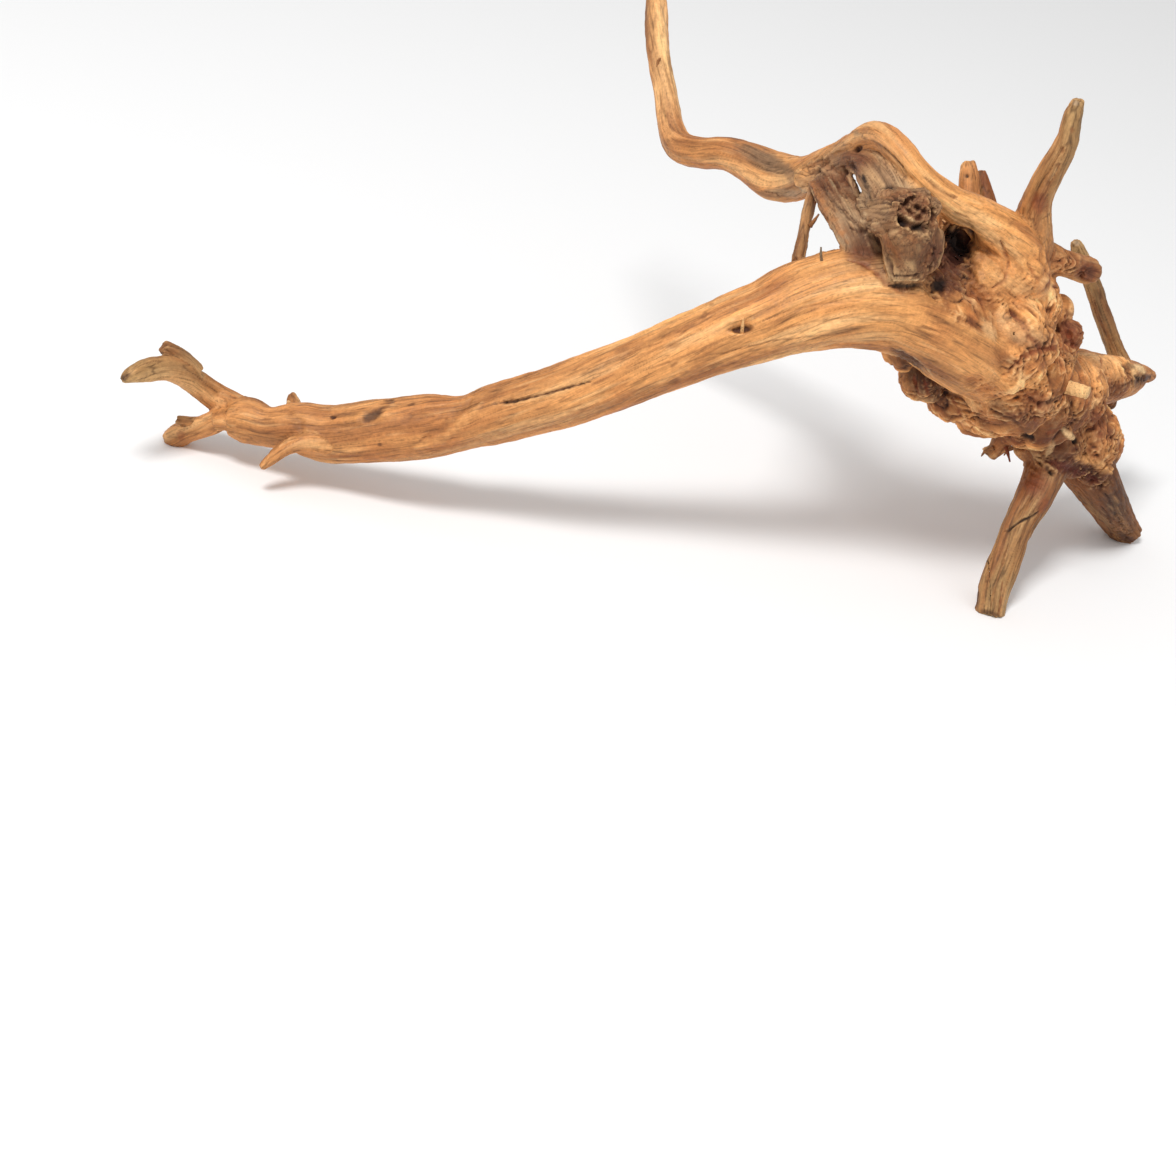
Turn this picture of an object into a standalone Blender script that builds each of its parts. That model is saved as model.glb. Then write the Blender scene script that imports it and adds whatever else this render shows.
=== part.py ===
"""Aquarium driftwood, one grown piece: a trunk with a forked end, a knobbly burl, an arm that
arches over a hollow, dead grey straps and stubs, thin roots and two short legs that it stands on.
Every limb is a row of stations read off the picture: across, down, depth toward the viewer, and
the half widths seen and in depth, in picture units. The tubes are fused, smoothed and roughened."""
import math

import bmesh
import bpy
import numpy as np
from mathutils import Vector, noise

# Driving dimensions
UNIT = 0.0004          # metres to one picture unit
VIEW_DISTANCE = 2190   # picture units from the eye to the middle of the piece
CENTRE = 588           # the picture's middle, across and down
VOXEL = 0.0014         # metres, the grid that fuses the limbs
TRIANGLES = 11200      # most triangles kept
CONTACT_CUT = 0.0009   # metres taken off the three resting points, so that each is a small flat
MIDDLE = (0.02665, 0.10363)   # metres, middle of the piece's box over the ground

# Lowest points of the two legs and of the lower fork branch, in picture units of space
LEG_LEFT = (405.2, -23.7, -31.0)
LEG_RIGHT = (584.6, 53.7, -233.5)
FORK_END = (-409.4, 143.9, 3.2)

# Limbs: (across, down, depth, half width seen, half width in depth)
TRUNK = [(230, 418, 36, 18, 22), (248, 420, 37, 23, 25), (271, 427, 40, 20, 25),
         (300, 428, 44, 26, 26.5), (333, 434, 49, 29.5, 27), (383, 431, 59.5, 32, 29),
         (430, 426, 67, 32, 30), (466, 422, 72.5, 27.5, 31.5), (490, 415, 77, 30, 32),
         (529, 405, 86, 31.5, 32), (560, 397, 93, 32, 32.5), (603, 382, 102, 33.5, 33),
         (650, 364, 113, 33.5, 33), (707, 341, 125, 36, 36), (740, 329, 131, 38, 38),
         (765, 321, 134, 40, 40), (806, 306, 135, 46, 42), (850, 298, 133, 50, 45),
         (890, 302, 124, 50, 48), (930, 322, 104, 48, 52), (962, 346, 78, 44, 50), (985, 370, 48, 34, 38),
         (1003, 394, 18, 18, 20)]
BRANCH_A = [(240, 412, 36, 17, 17), (228, 404, 32, 15, 15), (214, 396, 32, 13.5, 14),
            (199, 385, 47, 13, 13), (183, 374, 71, 12.5, 12.5), (163, 368, 95, 12.5, 12),
            (143, 371, 115, 12, 11), (131, 375, 126, 9, 9.5), (122, 379, 133, 5, 6)]
BRANCH_A_STUB = [(196, 372, 60, 9.5, 10), (185, 360, 72, 8.5, 9), (174, 352, 82, 8.5, 9),
                 (163, 347, 90, 7, 7.5)]
BRANCH_B = [(238, 418, 38, 15, 17), (222, 419, 37, 12.5, 15), (205, 426, 27, 12, 13.5),
            (190, 431, 18, 11.5, 12.5), (177, 436, 9, 12.5, 14), (170, 438, 4, 9, 11)]
BRANCH_B_TWIG = [(205, 425, 26, 8, 8), (193, 422, 29, 6, 6), (176, 419, 32, 5, 5)]
SPUR_C = [(345, 442, 60, 13, 12), (325, 443, 65, 12, 11), (305, 442, 69, 9.5, 9),
          (286, 448, 73, 7.5, 8), (272, 458, 75, 6, 7), (261, 468, 76, 3.5, 4)]
NUB_D = [(297, 412, 34, 8, 8), (293, 398, 26, 5.5, 5.5), (293, 394, 24, 4, 4)]
ARM = [(656, -8, -241, 8, 9), (656, 8, -226, 11.5, 13), (658, 50, -185, 11.5, 13.5),
       (666, 95, -161, 12, 14.5), (671, 128, -149, 13, 17), (681, 147, -140, 15, 19.5),
       (702, 153, -124, 15, 20), (728, 154, -102, 16.5, 19.5), (750, 162, -88, 20, 19),
       (775, 176, -70, 25, 19), (798, 178, -45, 22, 19), (820, 167, -12, 15, 20),
       (845, 153, 45, 13.5, 21.5), (868, 140, 99, 14, 21.5), (885, 139, 135, 14, 19.5),
       (901, 153, 156, 14, 17), (921, 178, 157, 14.5, 18), (950, 202, 142, 17, 20),
       (985, 222, 118, 22, 26), (1012, 244, 95, 26, 30), (1036, 266, 72, 16, 18)]
STRAP = [(806, 178, -20, 13, 10), (814, 179, 15, 17, 9), (828, 179, 52, 22, 8),
         (840, 203, 108, 22, 8), (857, 233, 148, 22, 10), (870, 260, 142, 24, 14)]
LOBE = [(838, 165, 50, 13, 10), (853, 161, 85, 13, 10), (871, 165, 122, 19, 12),
        (882, 178, 148, 25, 13), (893, 197, 165, 20, 13), (899, 212, 172, 17, 12)]
GREY_STUB = [(846, 206, 88, 10, 10), (858, 213, 110, 13, 13), (873, 216, 142, 15, 15),
             (892, 215, 178, 17, 16), (910, 213, 207, 20, 19), (914, 213, 215, 20, 19)]
GREY_FLAP = [(899, 208, 178, 22, 12), (905, 232, 178, 26, 12), (907, 256, 176, 25, 10),
             (907, 281, 173, 18, 9)]
THIN_ROOT = [(822, 172, -5, 6, 7), (818, 178, 15, 5.5, 6.5), (812, 195, 48, 5.5, 6.5),
             (805, 225, 90, 6, 6.5), (798, 262, 130, 7, 7.5)]
ROOT_ONE = [(1079, 99, 196, 6, 6), (1075, 111, 189, 9, 9), (1072, 123, 180, 10, 10),
            (1068, 141, 165, 11, 12), (1057, 162, 149, 13, 14), (1046, 180, 133, 14, 15),
            (1037, 200, 114, 15, 17), (1032, 225, 95, 20, 23), (1028, 250, 72, 25, 30), (1025, 274, 52, 15, 18)]
CUT_STUB = [(1016, 250, 80, 12, 12), (1038, 256, 65, 18, 20), (1066, 264, 50, 13, 16), (1088, 271, 31, 13.5, 16),
            (1091, 272, 28, 12, 14)]
PRONG_LEFT = [(968, 212, 98, 14, 13), (969, 190, 98, 10, 10), (969, 172, 97, 9, 8),
              (968, 161, 97, 7, 6)]
PRONG_RIGHT = [(988, 212, 88, 11, 11), (985, 190, 88, 7.5, 8), (981, 170, 88, 5, 5)]
STICK = [(1076, 241, -151, 5, 5.5), (1080, 254, -158, 8, 8), (1091, 280, -176, 8.5, 8.5),
         (1102, 313, -196, 8.5, 9), (1114, 345, -215, 9, 9.5), (1122, 368, -224, 12, 13)]
RIGHT_ROOT = [(1030, 382, -45, 20, 20), (1058, 379, -85, 32, 34), (1090, 380, -135, 28, 32), (1118, 378, -185, 22, 22),
              (1138, 375, -222, 13, 12), (1153, 376, -247, 5, 5)]
RIGHT_SPIKE = [(1115, 384, -180, 14, 12), (1112, 398, -190, 9, 8), (1108, 408, -196, 4, 4)]
LEG_L = [(989, 616, -26, 15, 13), (994, 590, -27, 15.5, 14), (1001, 571, -29, 16, 14.5),
         (1008, 552, -32, 15.5, 15), (1015, 533, -37, 16, 16), (1024, 515, -43, 17, 17),
         (1034, 498, -52, 19, 19), (1044, 474, -64, 21, 21), (1054, 448, -72, 27, 27),
         (1060, 424, -78, 15, 15)]
LEG_R = [(1125, 531, -236, 15, 18), (1117, 519, -213, 17, 20), (1108, 504, -180, 19.5, 24),
         (1095, 482, -148, 23, 31), (1080, 456, -122, 28, 34), (1066, 434, -98, 16, 18)]
SMALL_STUB = [(1010, 430, -66, 11, 10), (1000, 443, -78, 10, 9), (989, 454, -90, 8, 7)]
LIGHT_TWIG = [(824, 180, 26, 8, 7), (852, 221, 33.5, 6.5, 6.5), (878, 274, 43, 6.5, 6.5),
              (897, 326, 53.5, 6, 6)]

LIMBS = [TRUNK, BRANCH_A, BRANCH_A_STUB, BRANCH_B, BRANCH_B_TWIG, SPUR_C, NUB_D, ARM, STRAP,
         LOBE, GREY_STUB, GREY_FLAP, THIN_ROOT, ROOT_ONE, CUT_STUB, PRONG_LEFT,
         PRONG_RIGHT, STICK, RIGHT_ROOT, RIGHT_SPIKE, LEG_L, LEG_R, SMALL_STUB, LIGHT_TWIG]

# Burl: round lumps (across, down, depth, radius in picture units)
LUMPS = [(930, 312, 90, 48), (975, 285, 75, 46), (1010, 268, 75, 40), (1020, 300, 40, 41),
         (995, 340, 55, 58), (960, 322, 20, 58), (1008, 374, 5, 62), (1028, 348, -15, 50),
         (1038, 397, -40, 54), (1062, 395, -70, 46), (1080, 436, -98, 41), (1050, 434, -70, 38),
         (903, 350, 42, 21), (925, 376, 20, 27), (956, 391, 3, 31), (985, 405, -30, 35),
         (950, 246, 62, 34), (925, 268, 80, 34), (1092, 442, -140, 34), (1052, 314, 15, 20),
         (1062, 338, 8, 22), (915, 222, 135, 24), (935, 245, 105, 26)]


# Dents: (across, down, depth, radius, how deep in picture units)
DENTS = [(911, 213, 224, 16, 12), (956, 243, 120, 18, 12), (938, 287, 160, 12, 8),
         (742, 325, 172, 9, 4), (372, 415, 92, 9, 2.5), (870, 185, 130, 12, 3)]


def place(across, down, depth):
    """Space in picture units: right, up and toward the viewer, from a place in the picture."""
    shrink = 1 - depth / VIEW_DISTANCE
    return np.array([(across - CENTRE) * shrink, (CENTRE - down) * shrink, depth])


def ground_axes():
    """Rows: right along the ground, away from the viewer, and up, by the three resting points."""
    left, right, fork = (np.array(p, float) for p in (LEG_LEFT, LEG_RIGHT, FORK_END))
    up = np.cross(right - left, fork - left)
    up /= np.linalg.norm(up) * math.copysign(1, up[1])
    side = np.array([1.0, 0, 0]) - up[0] * up
    side /= np.linalg.norm(side)
    return np.array([side, np.cross(up, side), up])


def smooth_row(rows, step=4.0):
    """The stations joined by a smooth curve, a ring about every step."""
    rows = np.array(rows, float)
    ends = np.vstack([2 * rows[0] - rows[1], rows, 2 * rows[-1] - rows[-2]])
    out = []
    for i in range(1, len(ends) - 2):
        a, b, c, d = ends[i - 1:i + 3]
        count = max(1, int(np.linalg.norm((c - b)[:3]) / step))
        for t in np.arange(count) / count:
            out.append(0.5 * (2 * b + (c - a) * t + (2 * a - 5 * b + 4 * c - d) * t ** 2
                              + (3 * b - a - 3 * c + d) * t ** 3))
    out.append(rows[-1])
    return np.array(out)


def stations_in_space(limb):
    """Centres and half widths in picture units of space."""
    rows = []
    for across, down, depth, seen, deep in limb:
        shrink = 1 - depth / VIEW_DISTANCE
        rows.append([*place(across, down, depth), seen * shrink, deep * shrink])
    return smooth_row(rows)


def tube(bm, limb, sides=14):
    """A closed tube with oval rings and flat ends."""
    rows = stations_in_space(limb)
    centres = rows[:, :3]
    along = np.gradient(centres, axis=0)
    along /= np.linalg.norm(along, axis=1)[:, None]
    rings = []
    across = None
    for centre, tangent, (seen, deep) in zip(centres, along, rows[:, 3:]):
        side = np.cross([0, 0, 1.0], tangent)
        if np.linalg.norm(side) < 0.25 and across is not None:
            side = across - tangent * (across @ tangent)
        elif np.linalg.norm(side) < 0.05:
            side = np.cross([0, 1.0, 0], tangent)
        side /= np.linalg.norm(side)
        across = side
        far = np.cross(tangent, side)
        turn = np.arange(sides) * 2 * math.pi / sides
        points = centre + np.outer(np.cos(turn) * seen, side) + np.outer(np.sin(turn) * deep, far)
        rings.append([bm.verts.new(p) for p in points])
    for low, high in zip(rings, rings[1:]):
        for i in range(sides):
            j = (i + 1) % sides
            bm.faces.new((low[i], low[j], high[j], high[i]))
    bm.faces.new(rings[0][::-1])
    bm.faces.new(rings[-1])


def build_sketch():
    """All tubes and lumps in one mesh, overlapping, in picture units."""
    bm = bmesh.new()
    for limb in LIMBS:
        tube(bm, limb)
    for across, down, depth, radius in LUMPS:
        made = bmesh.ops.create_icosphere(bm, subdivisions=3, radius=radius)
        bmesh.ops.translate(bm, verts=made["verts"], vec=place(across, down, depth))
    mesh = bpy.data.meshes.new("sketch")
    bm.to_mesh(mesh)
    bm.free()
    return mesh


def read(mesh, what):
    """Positions or normals of a mesh's vertices."""
    rows = np.empty(len(mesh.vertices) * 3)
    mesh.vertices.foreach_get(what, rows)
    return rows.reshape(-1, 3)


def write(mesh, points):
    mesh.vertices.foreach_set("co", points.ravel())
    mesh.update()


def applied(obj):
    """The mesh of obj with its modifiers applied, which are then cleared."""
    graph = bpy.context.evaluated_depsgraph_get()
    graph.update()
    mesh = bpy.data.meshes.new_from_object(obj.evaluated_get(graph))
    mesh.name = "driftwood"
    obj.modifiers.clear()
    obj.data = mesh
    return mesh


def clearance(points, limbs):
    """How far each point is outside the nearest of the limbs, roughly."""
    best = np.full(len(points), 1e9)
    for limb in limbs:
        for row in stations_in_space(limb):
            gap = np.linalg.norm(points - row[:3], axis=1) - 0.5 * (row[3] + row[4])
            np.minimum(best, gap, out=best)
    return best


def burl_share(points):
    """1 on the burl, 0 on the limbs, smooth between."""
    lumps = np.full(len(points), 1e9)
    for across, down, depth, radius in LUMPS:
        gap = np.linalg.norm(points - place(across, down, depth), axis=1) - radius
        np.minimum(lumps, gap, out=lumps)
    share = np.clip((clearance(points, LIMBS) - lumps + 6) / 14, 0, 1)
    return share * share * (3 - 2 * share)


def relief(points, normals):
    """Moves the points along their normals: knobs and folds on the burl, ripples elsewhere, dents."""
    burl = burl_share(points)
    height = np.empty(len(points))
    for i, (p, share) in enumerate(zip(points, burl)):
        where = Vector(p)
        slow = noise.noise(where / 55)
        height[i] = (1 - share) * slow
        if share > 0:
            warp = where + 9 * noise.noise_vector(where / 40)
            knobs = abs(noise.noise(warp / 30))
            folds = abs(noise.noise(warp / 13 + Vector((7, 3, 1))))
            height[i] += share * (7 * knobs - 2.2 + 3.4 * folds - 1.0)
    for across, down, depth, radius, deep in DENTS:
        near = np.linalg.norm(points - place(across, down, depth), axis=1) / radius
        height -= deep * np.exp(-near ** 4)
    return points + normals * height[:, None]


def flatten_feet(mesh):
    """Cuts the mesh at the ground and closes the three small flats."""
    bm = bmesh.new()
    bm.from_mesh(mesh)
    parts = bm.verts[:] + bm.edges[:] + bm.faces[:]
    cut = bmesh.ops.bisect_plane(bm, geom=parts, plane_co=(0, 0, 0), plane_no=(0, 0, 1),
                                 dist=1e-6, clear_inner=True)
    rim = [e for e in cut["geom_cut"] if isinstance(e, bmesh.types.BMEdge)]
    bmesh.ops.holes_fill(bm, edges=rim)
    bmesh.ops.triangulate(bm, faces=bm.faces[:])
    bmesh.ops.recalc_face_normals(bm, faces=bm.faces[:])
    bm.to_mesh(mesh)
    bm.free()


def wood():
    material = bpy.data.materials.new("driftwood")
    material.use_nodes = True
    surface = material.node_tree.nodes["Principled BSDF"]
    surface.inputs["Base Color"].default_value = (0.56, 0.29, 0.11, 1)
    surface.inputs["Roughness"].default_value = 0.62
    return material


def main():
    for old in list(bpy.data.objects):
        bpy.data.objects.remove(old)
    obj = bpy.data.objects.new("driftwood", build_sketch())
    bpy.context.scene.collection.objects.link(obj)
    fuse = obj.modifiers.new("fuse", "REMESH")
    fuse.mode = "VOXEL"
    fuse.voxel_size = VOXEL / UNIT
    soft = obj.modifiers.new("soft", "SMOOTH")
    soft.factor = 0.5
    soft.iterations = 5
    mesh = applied(obj)
    write(mesh, relief(read(mesh, "co"), read(mesh, "normal")))
    few = obj.modifiers.new("few", "DECIMATE")
    few.ratio = min(1.0, TRIANGLES / (2 * len(mesh.polygons)))
    mesh = applied(obj)
    axes = ground_axes()
    floor = axes[2] @ np.array(LEG_LEFT) * UNIT + CONTACT_CUT
    points = read(mesh, "co") @ axes.T * UNIT
    write(mesh, points - np.array([MIDDLE[0], MIDDLE[1], floor]))
    flatten_feet(mesh)
    mesh.materials.append(wood())
    print("triangles", len(mesh.polygons))


main()
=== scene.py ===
"""The looks of the aquarium driftwood. The same limbs and lumps as in the model are fused on a finer
grid and given grain, folds, cracks, knots, broken ends and splinters. The colours come from formulas
over the surface and from marks that are placed by what the two figures of the picture show."""
import math

import bmesh
import bpy
import numpy as np
from mathutils import Matrix, Vector, noise
from mathutils.geometry import tessellate_polygon


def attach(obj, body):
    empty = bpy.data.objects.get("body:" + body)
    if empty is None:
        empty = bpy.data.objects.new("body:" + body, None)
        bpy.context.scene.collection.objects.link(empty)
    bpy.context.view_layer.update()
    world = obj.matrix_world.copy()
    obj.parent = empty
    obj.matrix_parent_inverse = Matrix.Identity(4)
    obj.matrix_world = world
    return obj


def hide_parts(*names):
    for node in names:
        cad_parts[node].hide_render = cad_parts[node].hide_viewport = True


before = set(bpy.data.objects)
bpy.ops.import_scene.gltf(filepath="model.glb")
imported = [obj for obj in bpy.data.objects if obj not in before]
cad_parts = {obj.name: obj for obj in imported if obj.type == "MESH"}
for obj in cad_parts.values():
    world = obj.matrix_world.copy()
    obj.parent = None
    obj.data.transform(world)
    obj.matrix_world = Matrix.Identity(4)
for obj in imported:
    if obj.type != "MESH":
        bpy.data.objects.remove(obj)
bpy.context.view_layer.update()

# Driving dimensions
UNIT = 0.0004          # metres to one picture unit
VIEW_DISTANCE = 2190   # picture units from the eye to the middle of the piece
CENTRE = 588           # the picture's middle, across and down
VOXEL = 0.0014         # metres, the model's grid that fuses the limbs
TRIANGLES = 11200      # most triangles the model keeps
CONTACT_CUT = 0.0009   # metres taken off the three resting points, so that each is a small flat
MIDDLE = (0.02665, 0.10363)   # metres, middle of the piece's box over the ground

# Lowest points of the two legs and of the lower fork branch, in picture units of space
LEG_LEFT = (405.2, -23.7, -31.0)
LEG_RIGHT = (584.6, 53.7, -233.5)
FORK_END = (-409.4, 143.9, 3.2)

# Limbs: (across, down, depth, half width seen, half width in depth)
TRUNK = [(230, 418, 36, 18, 22), (248, 420, 37, 23, 25), (271, 427, 40, 20, 25),
         (300, 428, 44, 26, 26.5), (333, 434, 49, 29.5, 27), (383, 431, 59.5, 32, 29),
         (430, 426, 67, 32, 30), (466, 422, 72.5, 27.5, 31.5), (490, 415, 77, 30, 32),
         (529, 405, 86, 31.5, 32), (560, 397, 93, 32, 32.5), (603, 382, 102, 33.5, 33),
         (650, 364, 113, 33.5, 33), (707, 341, 125, 36, 36), (740, 329, 131, 38, 38),
         (765, 321, 134, 40, 40), (806, 306, 135, 46, 42), (850, 298, 133, 50, 45),
         (890, 302, 124, 50, 48), (930, 322, 104, 48, 52), (962, 346, 78, 44, 50), (985, 370, 48, 34, 38),
         (1003, 394, 18, 18, 20)]
BRANCH_A = [(240, 412, 36, 17, 17), (228, 404, 32, 15, 15), (214, 396, 32, 13.5, 14),
            (199, 385, 47, 13, 13), (183, 374, 71, 12.5, 12.5), (163, 368, 95, 12.5, 12),
            (143, 371, 115, 12, 11), (131, 375, 126, 9, 9.5), (122, 379, 133, 5, 6)]
BRANCH_A_STUB = [(196, 372, 60, 9.5, 10), (185, 360, 72, 8.5, 9), (174, 352, 82, 8.5, 9),
                 (163, 347, 90, 7, 7.5)]
BRANCH_B = [(238, 418, 38, 15, 17), (222, 419, 37, 12.5, 15), (205, 426, 27, 12, 13.5),
            (190, 431, 18, 11.5, 12.5), (177, 436, 9, 12.5, 14), (170, 438, 4, 9, 11)]
BRANCH_B_TWIG = [(205, 425, 26, 8, 8), (193, 422, 29, 6, 6), (176, 419, 32, 5, 5)]
SPUR_C = [(345, 442, 60, 13, 12), (325, 443, 65, 12, 11), (305, 442, 69, 9.5, 9),
          (286, 448, 73, 7.5, 8), (272, 458, 75, 6, 7), (261, 468, 76, 3.5, 4)]
NUB_D = [(297, 412, 34, 8, 8), (293, 398, 26, 5.5, 5.5), (293, 394, 24, 4, 4)]
ARM = [(656, -8, -241, 8, 9), (656, 8, -226, 11.5, 13), (658, 50, -185, 11.5, 13.5),
       (666, 95, -161, 12, 14.5), (671, 128, -149, 13, 17), (681, 147, -140, 15, 19.5),
       (702, 153, -124, 15, 20), (728, 154, -102, 16.5, 19.5), (750, 162, -88, 20, 19),
       (775, 176, -70, 25, 19), (798, 178, -45, 22, 19), (820, 167, -12, 15, 20),
       (845, 153, 45, 13.5, 21.5), (868, 140, 99, 14, 21.5), (885, 139, 135, 14, 19.5),
       (901, 153, 156, 14, 17), (921, 178, 157, 14.5, 18), (950, 202, 142, 17, 20),
       (985, 222, 118, 22, 26), (1012, 244, 95, 26, 30), (1036, 266, 72, 16, 18)]
STRAP = [(806, 178, -20, 13, 10), (814, 179, 15, 17, 9), (828, 179, 52, 22, 8),
         (840, 203, 108, 22, 8), (857, 233, 148, 22, 10), (870, 260, 142, 24, 14)]
LOBE = [(838, 165, 50, 13, 10), (853, 161, 85, 13, 10), (871, 165, 122, 19, 12),
        (882, 178, 148, 25, 13), (893, 197, 165, 20, 13), (899, 212, 172, 17, 12)]
GREY_STUB = [(846, 206, 88, 10, 10), (858, 213, 110, 13, 13), (873, 216, 142, 15, 15),
             (892, 215, 178, 17, 16), (910, 213, 207, 20, 19), (914, 213, 215, 20, 19)]
GREY_FLAP = [(899, 208, 178, 22, 12), (905, 232, 178, 26, 12), (907, 256, 176, 25, 10),
             (907, 281, 173, 18, 9)]
THIN_ROOT = [(822, 172, -5, 6, 7), (818, 178, 15, 5.5, 6.5), (812, 195, 48, 5.5, 6.5),
             (805, 225, 90, 6, 6.5), (798, 262, 130, 7, 7.5)]
ROOT_ONE = [(1079, 99, 196, 6, 6), (1075, 111, 189, 9, 9), (1072, 123, 180, 10, 10),
            (1068, 141, 165, 11, 12), (1057, 162, 149, 13, 14), (1046, 180, 133, 14, 15),
            (1037, 200, 114, 15, 17), (1032, 225, 95, 20, 23), (1028, 250, 72, 25, 30), (1025, 274, 52, 15, 18)]
CUT_STUB = [(1016, 250, 80, 12, 12), (1038, 256, 65, 18, 20), (1066, 264, 50, 13, 16), (1088, 271, 31, 13.5, 16),
            (1091, 272, 28, 12, 14)]
PRONG_LEFT = [(968, 212, 98, 14, 13), (969, 190, 98, 10, 10), (969, 172, 97, 9, 8),
              (968, 161, 97, 7, 6)]
PRONG_RIGHT = [(988, 212, 88, 11, 11), (985, 190, 88, 7.5, 8), (981, 170, 88, 5, 5)]
STICK = [(1076, 241, -151, 5, 5.5), (1080, 254, -158, 8, 8), (1091, 280, -176, 8.5, 8.5),
         (1102, 313, -196, 8.5, 9), (1114, 345, -215, 9, 9.5), (1122, 368, -224, 12, 13)]
RIGHT_ROOT = [(1030, 382, -45, 20, 20), (1058, 379, -85, 32, 34), (1090, 380, -135, 28, 32), (1118, 378, -185, 22, 22),
              (1138, 375, -222, 13, 12), (1153, 376, -247, 5, 5)]
RIGHT_SPIKE = [(1115, 384, -180, 14, 12), (1112, 398, -190, 9, 8), (1108, 408, -196, 4, 4)]
LEG_L = [(989, 616, -26, 15, 13), (994, 590, -27, 15.5, 14), (1001, 571, -29, 16, 14.5),
         (1008, 552, -32, 15.5, 15), (1015, 533, -37, 16, 16), (1024, 515, -43, 17, 17),
         (1034, 498, -52, 19, 19), (1044, 474, -64, 21, 21), (1054, 448, -72, 27, 27),
         (1060, 424, -78, 15, 15)]
LEG_R = [(1125, 531, -236, 15, 18), (1117, 519, -213, 17, 20), (1108, 504, -180, 19.5, 24),
         (1095, 482, -148, 23, 31), (1080, 456, -122, 28, 34), (1066, 434, -98, 16, 18)]
SMALL_STUB = [(1010, 430, -66, 11, 10), (1000, 443, -78, 10, 9), (989, 454, -90, 8, 7)]
LIGHT_TWIG = [(824, 180, 26, 8, 7), (852, 221, 33.5, 6.5, 6.5), (878, 274, 43, 6.5, 6.5),
              (897, 326, 53.5, 6, 6)]

LIMBS = [TRUNK, BRANCH_A, BRANCH_A_STUB, BRANCH_B, BRANCH_B_TWIG, SPUR_C, NUB_D, ARM, STRAP,
         LOBE, GREY_STUB, GREY_FLAP, THIN_ROOT, ROOT_ONE, CUT_STUB, PRONG_LEFT,
         PRONG_RIGHT, STICK, RIGHT_ROOT, RIGHT_SPIKE, LEG_L, LEG_R, SMALL_STUB, LIGHT_TWIG]

# Burl: round lumps (across, down, depth, radius in picture units)
LUMPS = [(930, 312, 90, 48), (975, 285, 75, 46), (1010, 268, 75, 40), (1020, 300, 40, 41),
         (995, 340, 55, 58), (960, 322, 20, 58), (1008, 374, 5, 62), (1028, 348, -15, 50),
         (1038, 397, -40, 54), (1062, 395, -70, 46), (1080, 436, -98, 41), (1050, 434, -70, 38),
         (903, 350, 42, 21), (925, 376, 20, 27), (956, 391, 3, 31), (985, 405, -30, 35),
         (950, 246, 62, 34), (925, 268, 80, 34), (1092, 442, -140, 34), (1052, 314, 15, 20),
         (1062, 338, 8, 22), (915, 222, 135, 24), (935, 245, 105, 26)]


# Dents: (across, down, depth, radius, how deep in picture units)
DENTS = [(911, 213, 224, 16, 4), (956, 243, 120, 18, 12), (938, 287, 160, 12, 8),
         (742, 325, 172, 9, 4), (372, 415, 92, 9, 2.5), (870, 185, 130, 12, 3)]

# Second eye: the lower figure shows the same piece from behind and above
EYE_B_TURN = np.array([[-0.562463, -0.496012, 0.661519], [0.383224, 0.552555, 0.74015],
                       [-0.732649, 0.669817, -0.120708]])
EYE_B_SHIFT = np.array([-45.4286, -16.5127, 0])
EYE_B_DISTANCE = 1612.74
EYE_B_SCALE = 1.042276
EYE_B_CENTRE = (523.915, 834.5)

FINE = 1.35            # picture units, the grid of the shown surface
SOFTEN = 12            # rounds of smoothing
PIECES = 6             # the surface is shown in this many pieces

# Small fills that only the shown surface has: a wall beside the slit, and the arch's seat on the lobe
WALL = [(866, 158, 98, 7, 20), (868, 176, 98, 7, 26), (872, 184, 98, 7, 26), (883, 206, 98, 7, 28)]
EDGE = [(843, 160, 62, 5, 6), (846, 170, 74, 5, 6), (851, 184, 92, 5, 6), (861, 204, 110, 5, 6)]
BARK = [(850, 208, 92, 11, 11), (862, 213, 118, 15, 16), (880, 216, 155, 18, 18), (900, 215, 190, 20, 19),
        (912, 214, 210, 20.5, 20)]
FILLS = [(889, 199, 176, 13), (879, 202, 162, 13), (868, 204, 142, 12), (897, 196, 184, 10), (884, 226, 180, 12),
         (871, 222, 160, 11), (880, 201, 150, 12), (885, 224, 166, 12), (875, 228, 152, 10), (904, 235, 197, 14), (918, 235, 196, 13), (909, 247, 188, 16), (926, 243, 184, 11),
         (895, 243, 184, 12), (903, 238, 176, 17), (918, 240, 174, 17), (909, 258, 176, 18), (915, 268, 169, 13),
         (899, 267, 169, 13), (920, 197, 196, 10), (932, 207, 188, 10), (905, 196, 192, 9), (892, 232, 176, 12),
         (930, 226, 190, 9), (933, 250, 178, 11), (935, 238, 178, 10), (930, 262, 172, 10), (912, 190, 160, 11), (916, 199, 150, 11), (903, 186, 160, 9), (1092, 468, -98, 19),
         (1074, 464, -76, 16), (1104, 474, -122, 15), (1056, 458, -58, 15), (1040, 450, -52, 13),
         (1009, 437, -64, 10), (1094, 458, -92, 16)]


# Notches that only the shown surface has, as the dents
NOTCHES = [(1127, 359, -196, 10, 7), (1144, 387, -226, 9, 6), (1121, 399, -186, 8, 4), (1100, 352, -150, 8, 4)]


def place(across, down, depth):
    """Space in picture units: right, up and toward the viewer, from a place in the picture."""
    shrink = 1 - depth / VIEW_DISTANCE
    return np.array([(across - CENTRE) * shrink, (CENTRE - down) * shrink, depth])


def ground_axes():
    """Rows: right along the ground, away from the viewer, and up, by the three resting points."""
    left, right, fork = (np.array(p, float) for p in (LEG_LEFT, LEG_RIGHT, FORK_END))
    up = np.cross(right - left, fork - left)
    up /= np.linalg.norm(up) * math.copysign(1, up[1])
    side = np.array([1.0, 0, 0]) - up[0] * up
    side /= np.linalg.norm(side)
    return np.array([side, np.cross(up, side), up])


AXES = ground_axes()
CORNER = np.array([MIDDLE[0], MIDDLE[1], AXES[2] @ np.array(LEG_LEFT) * UNIT + CONTACT_CUT])


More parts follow.
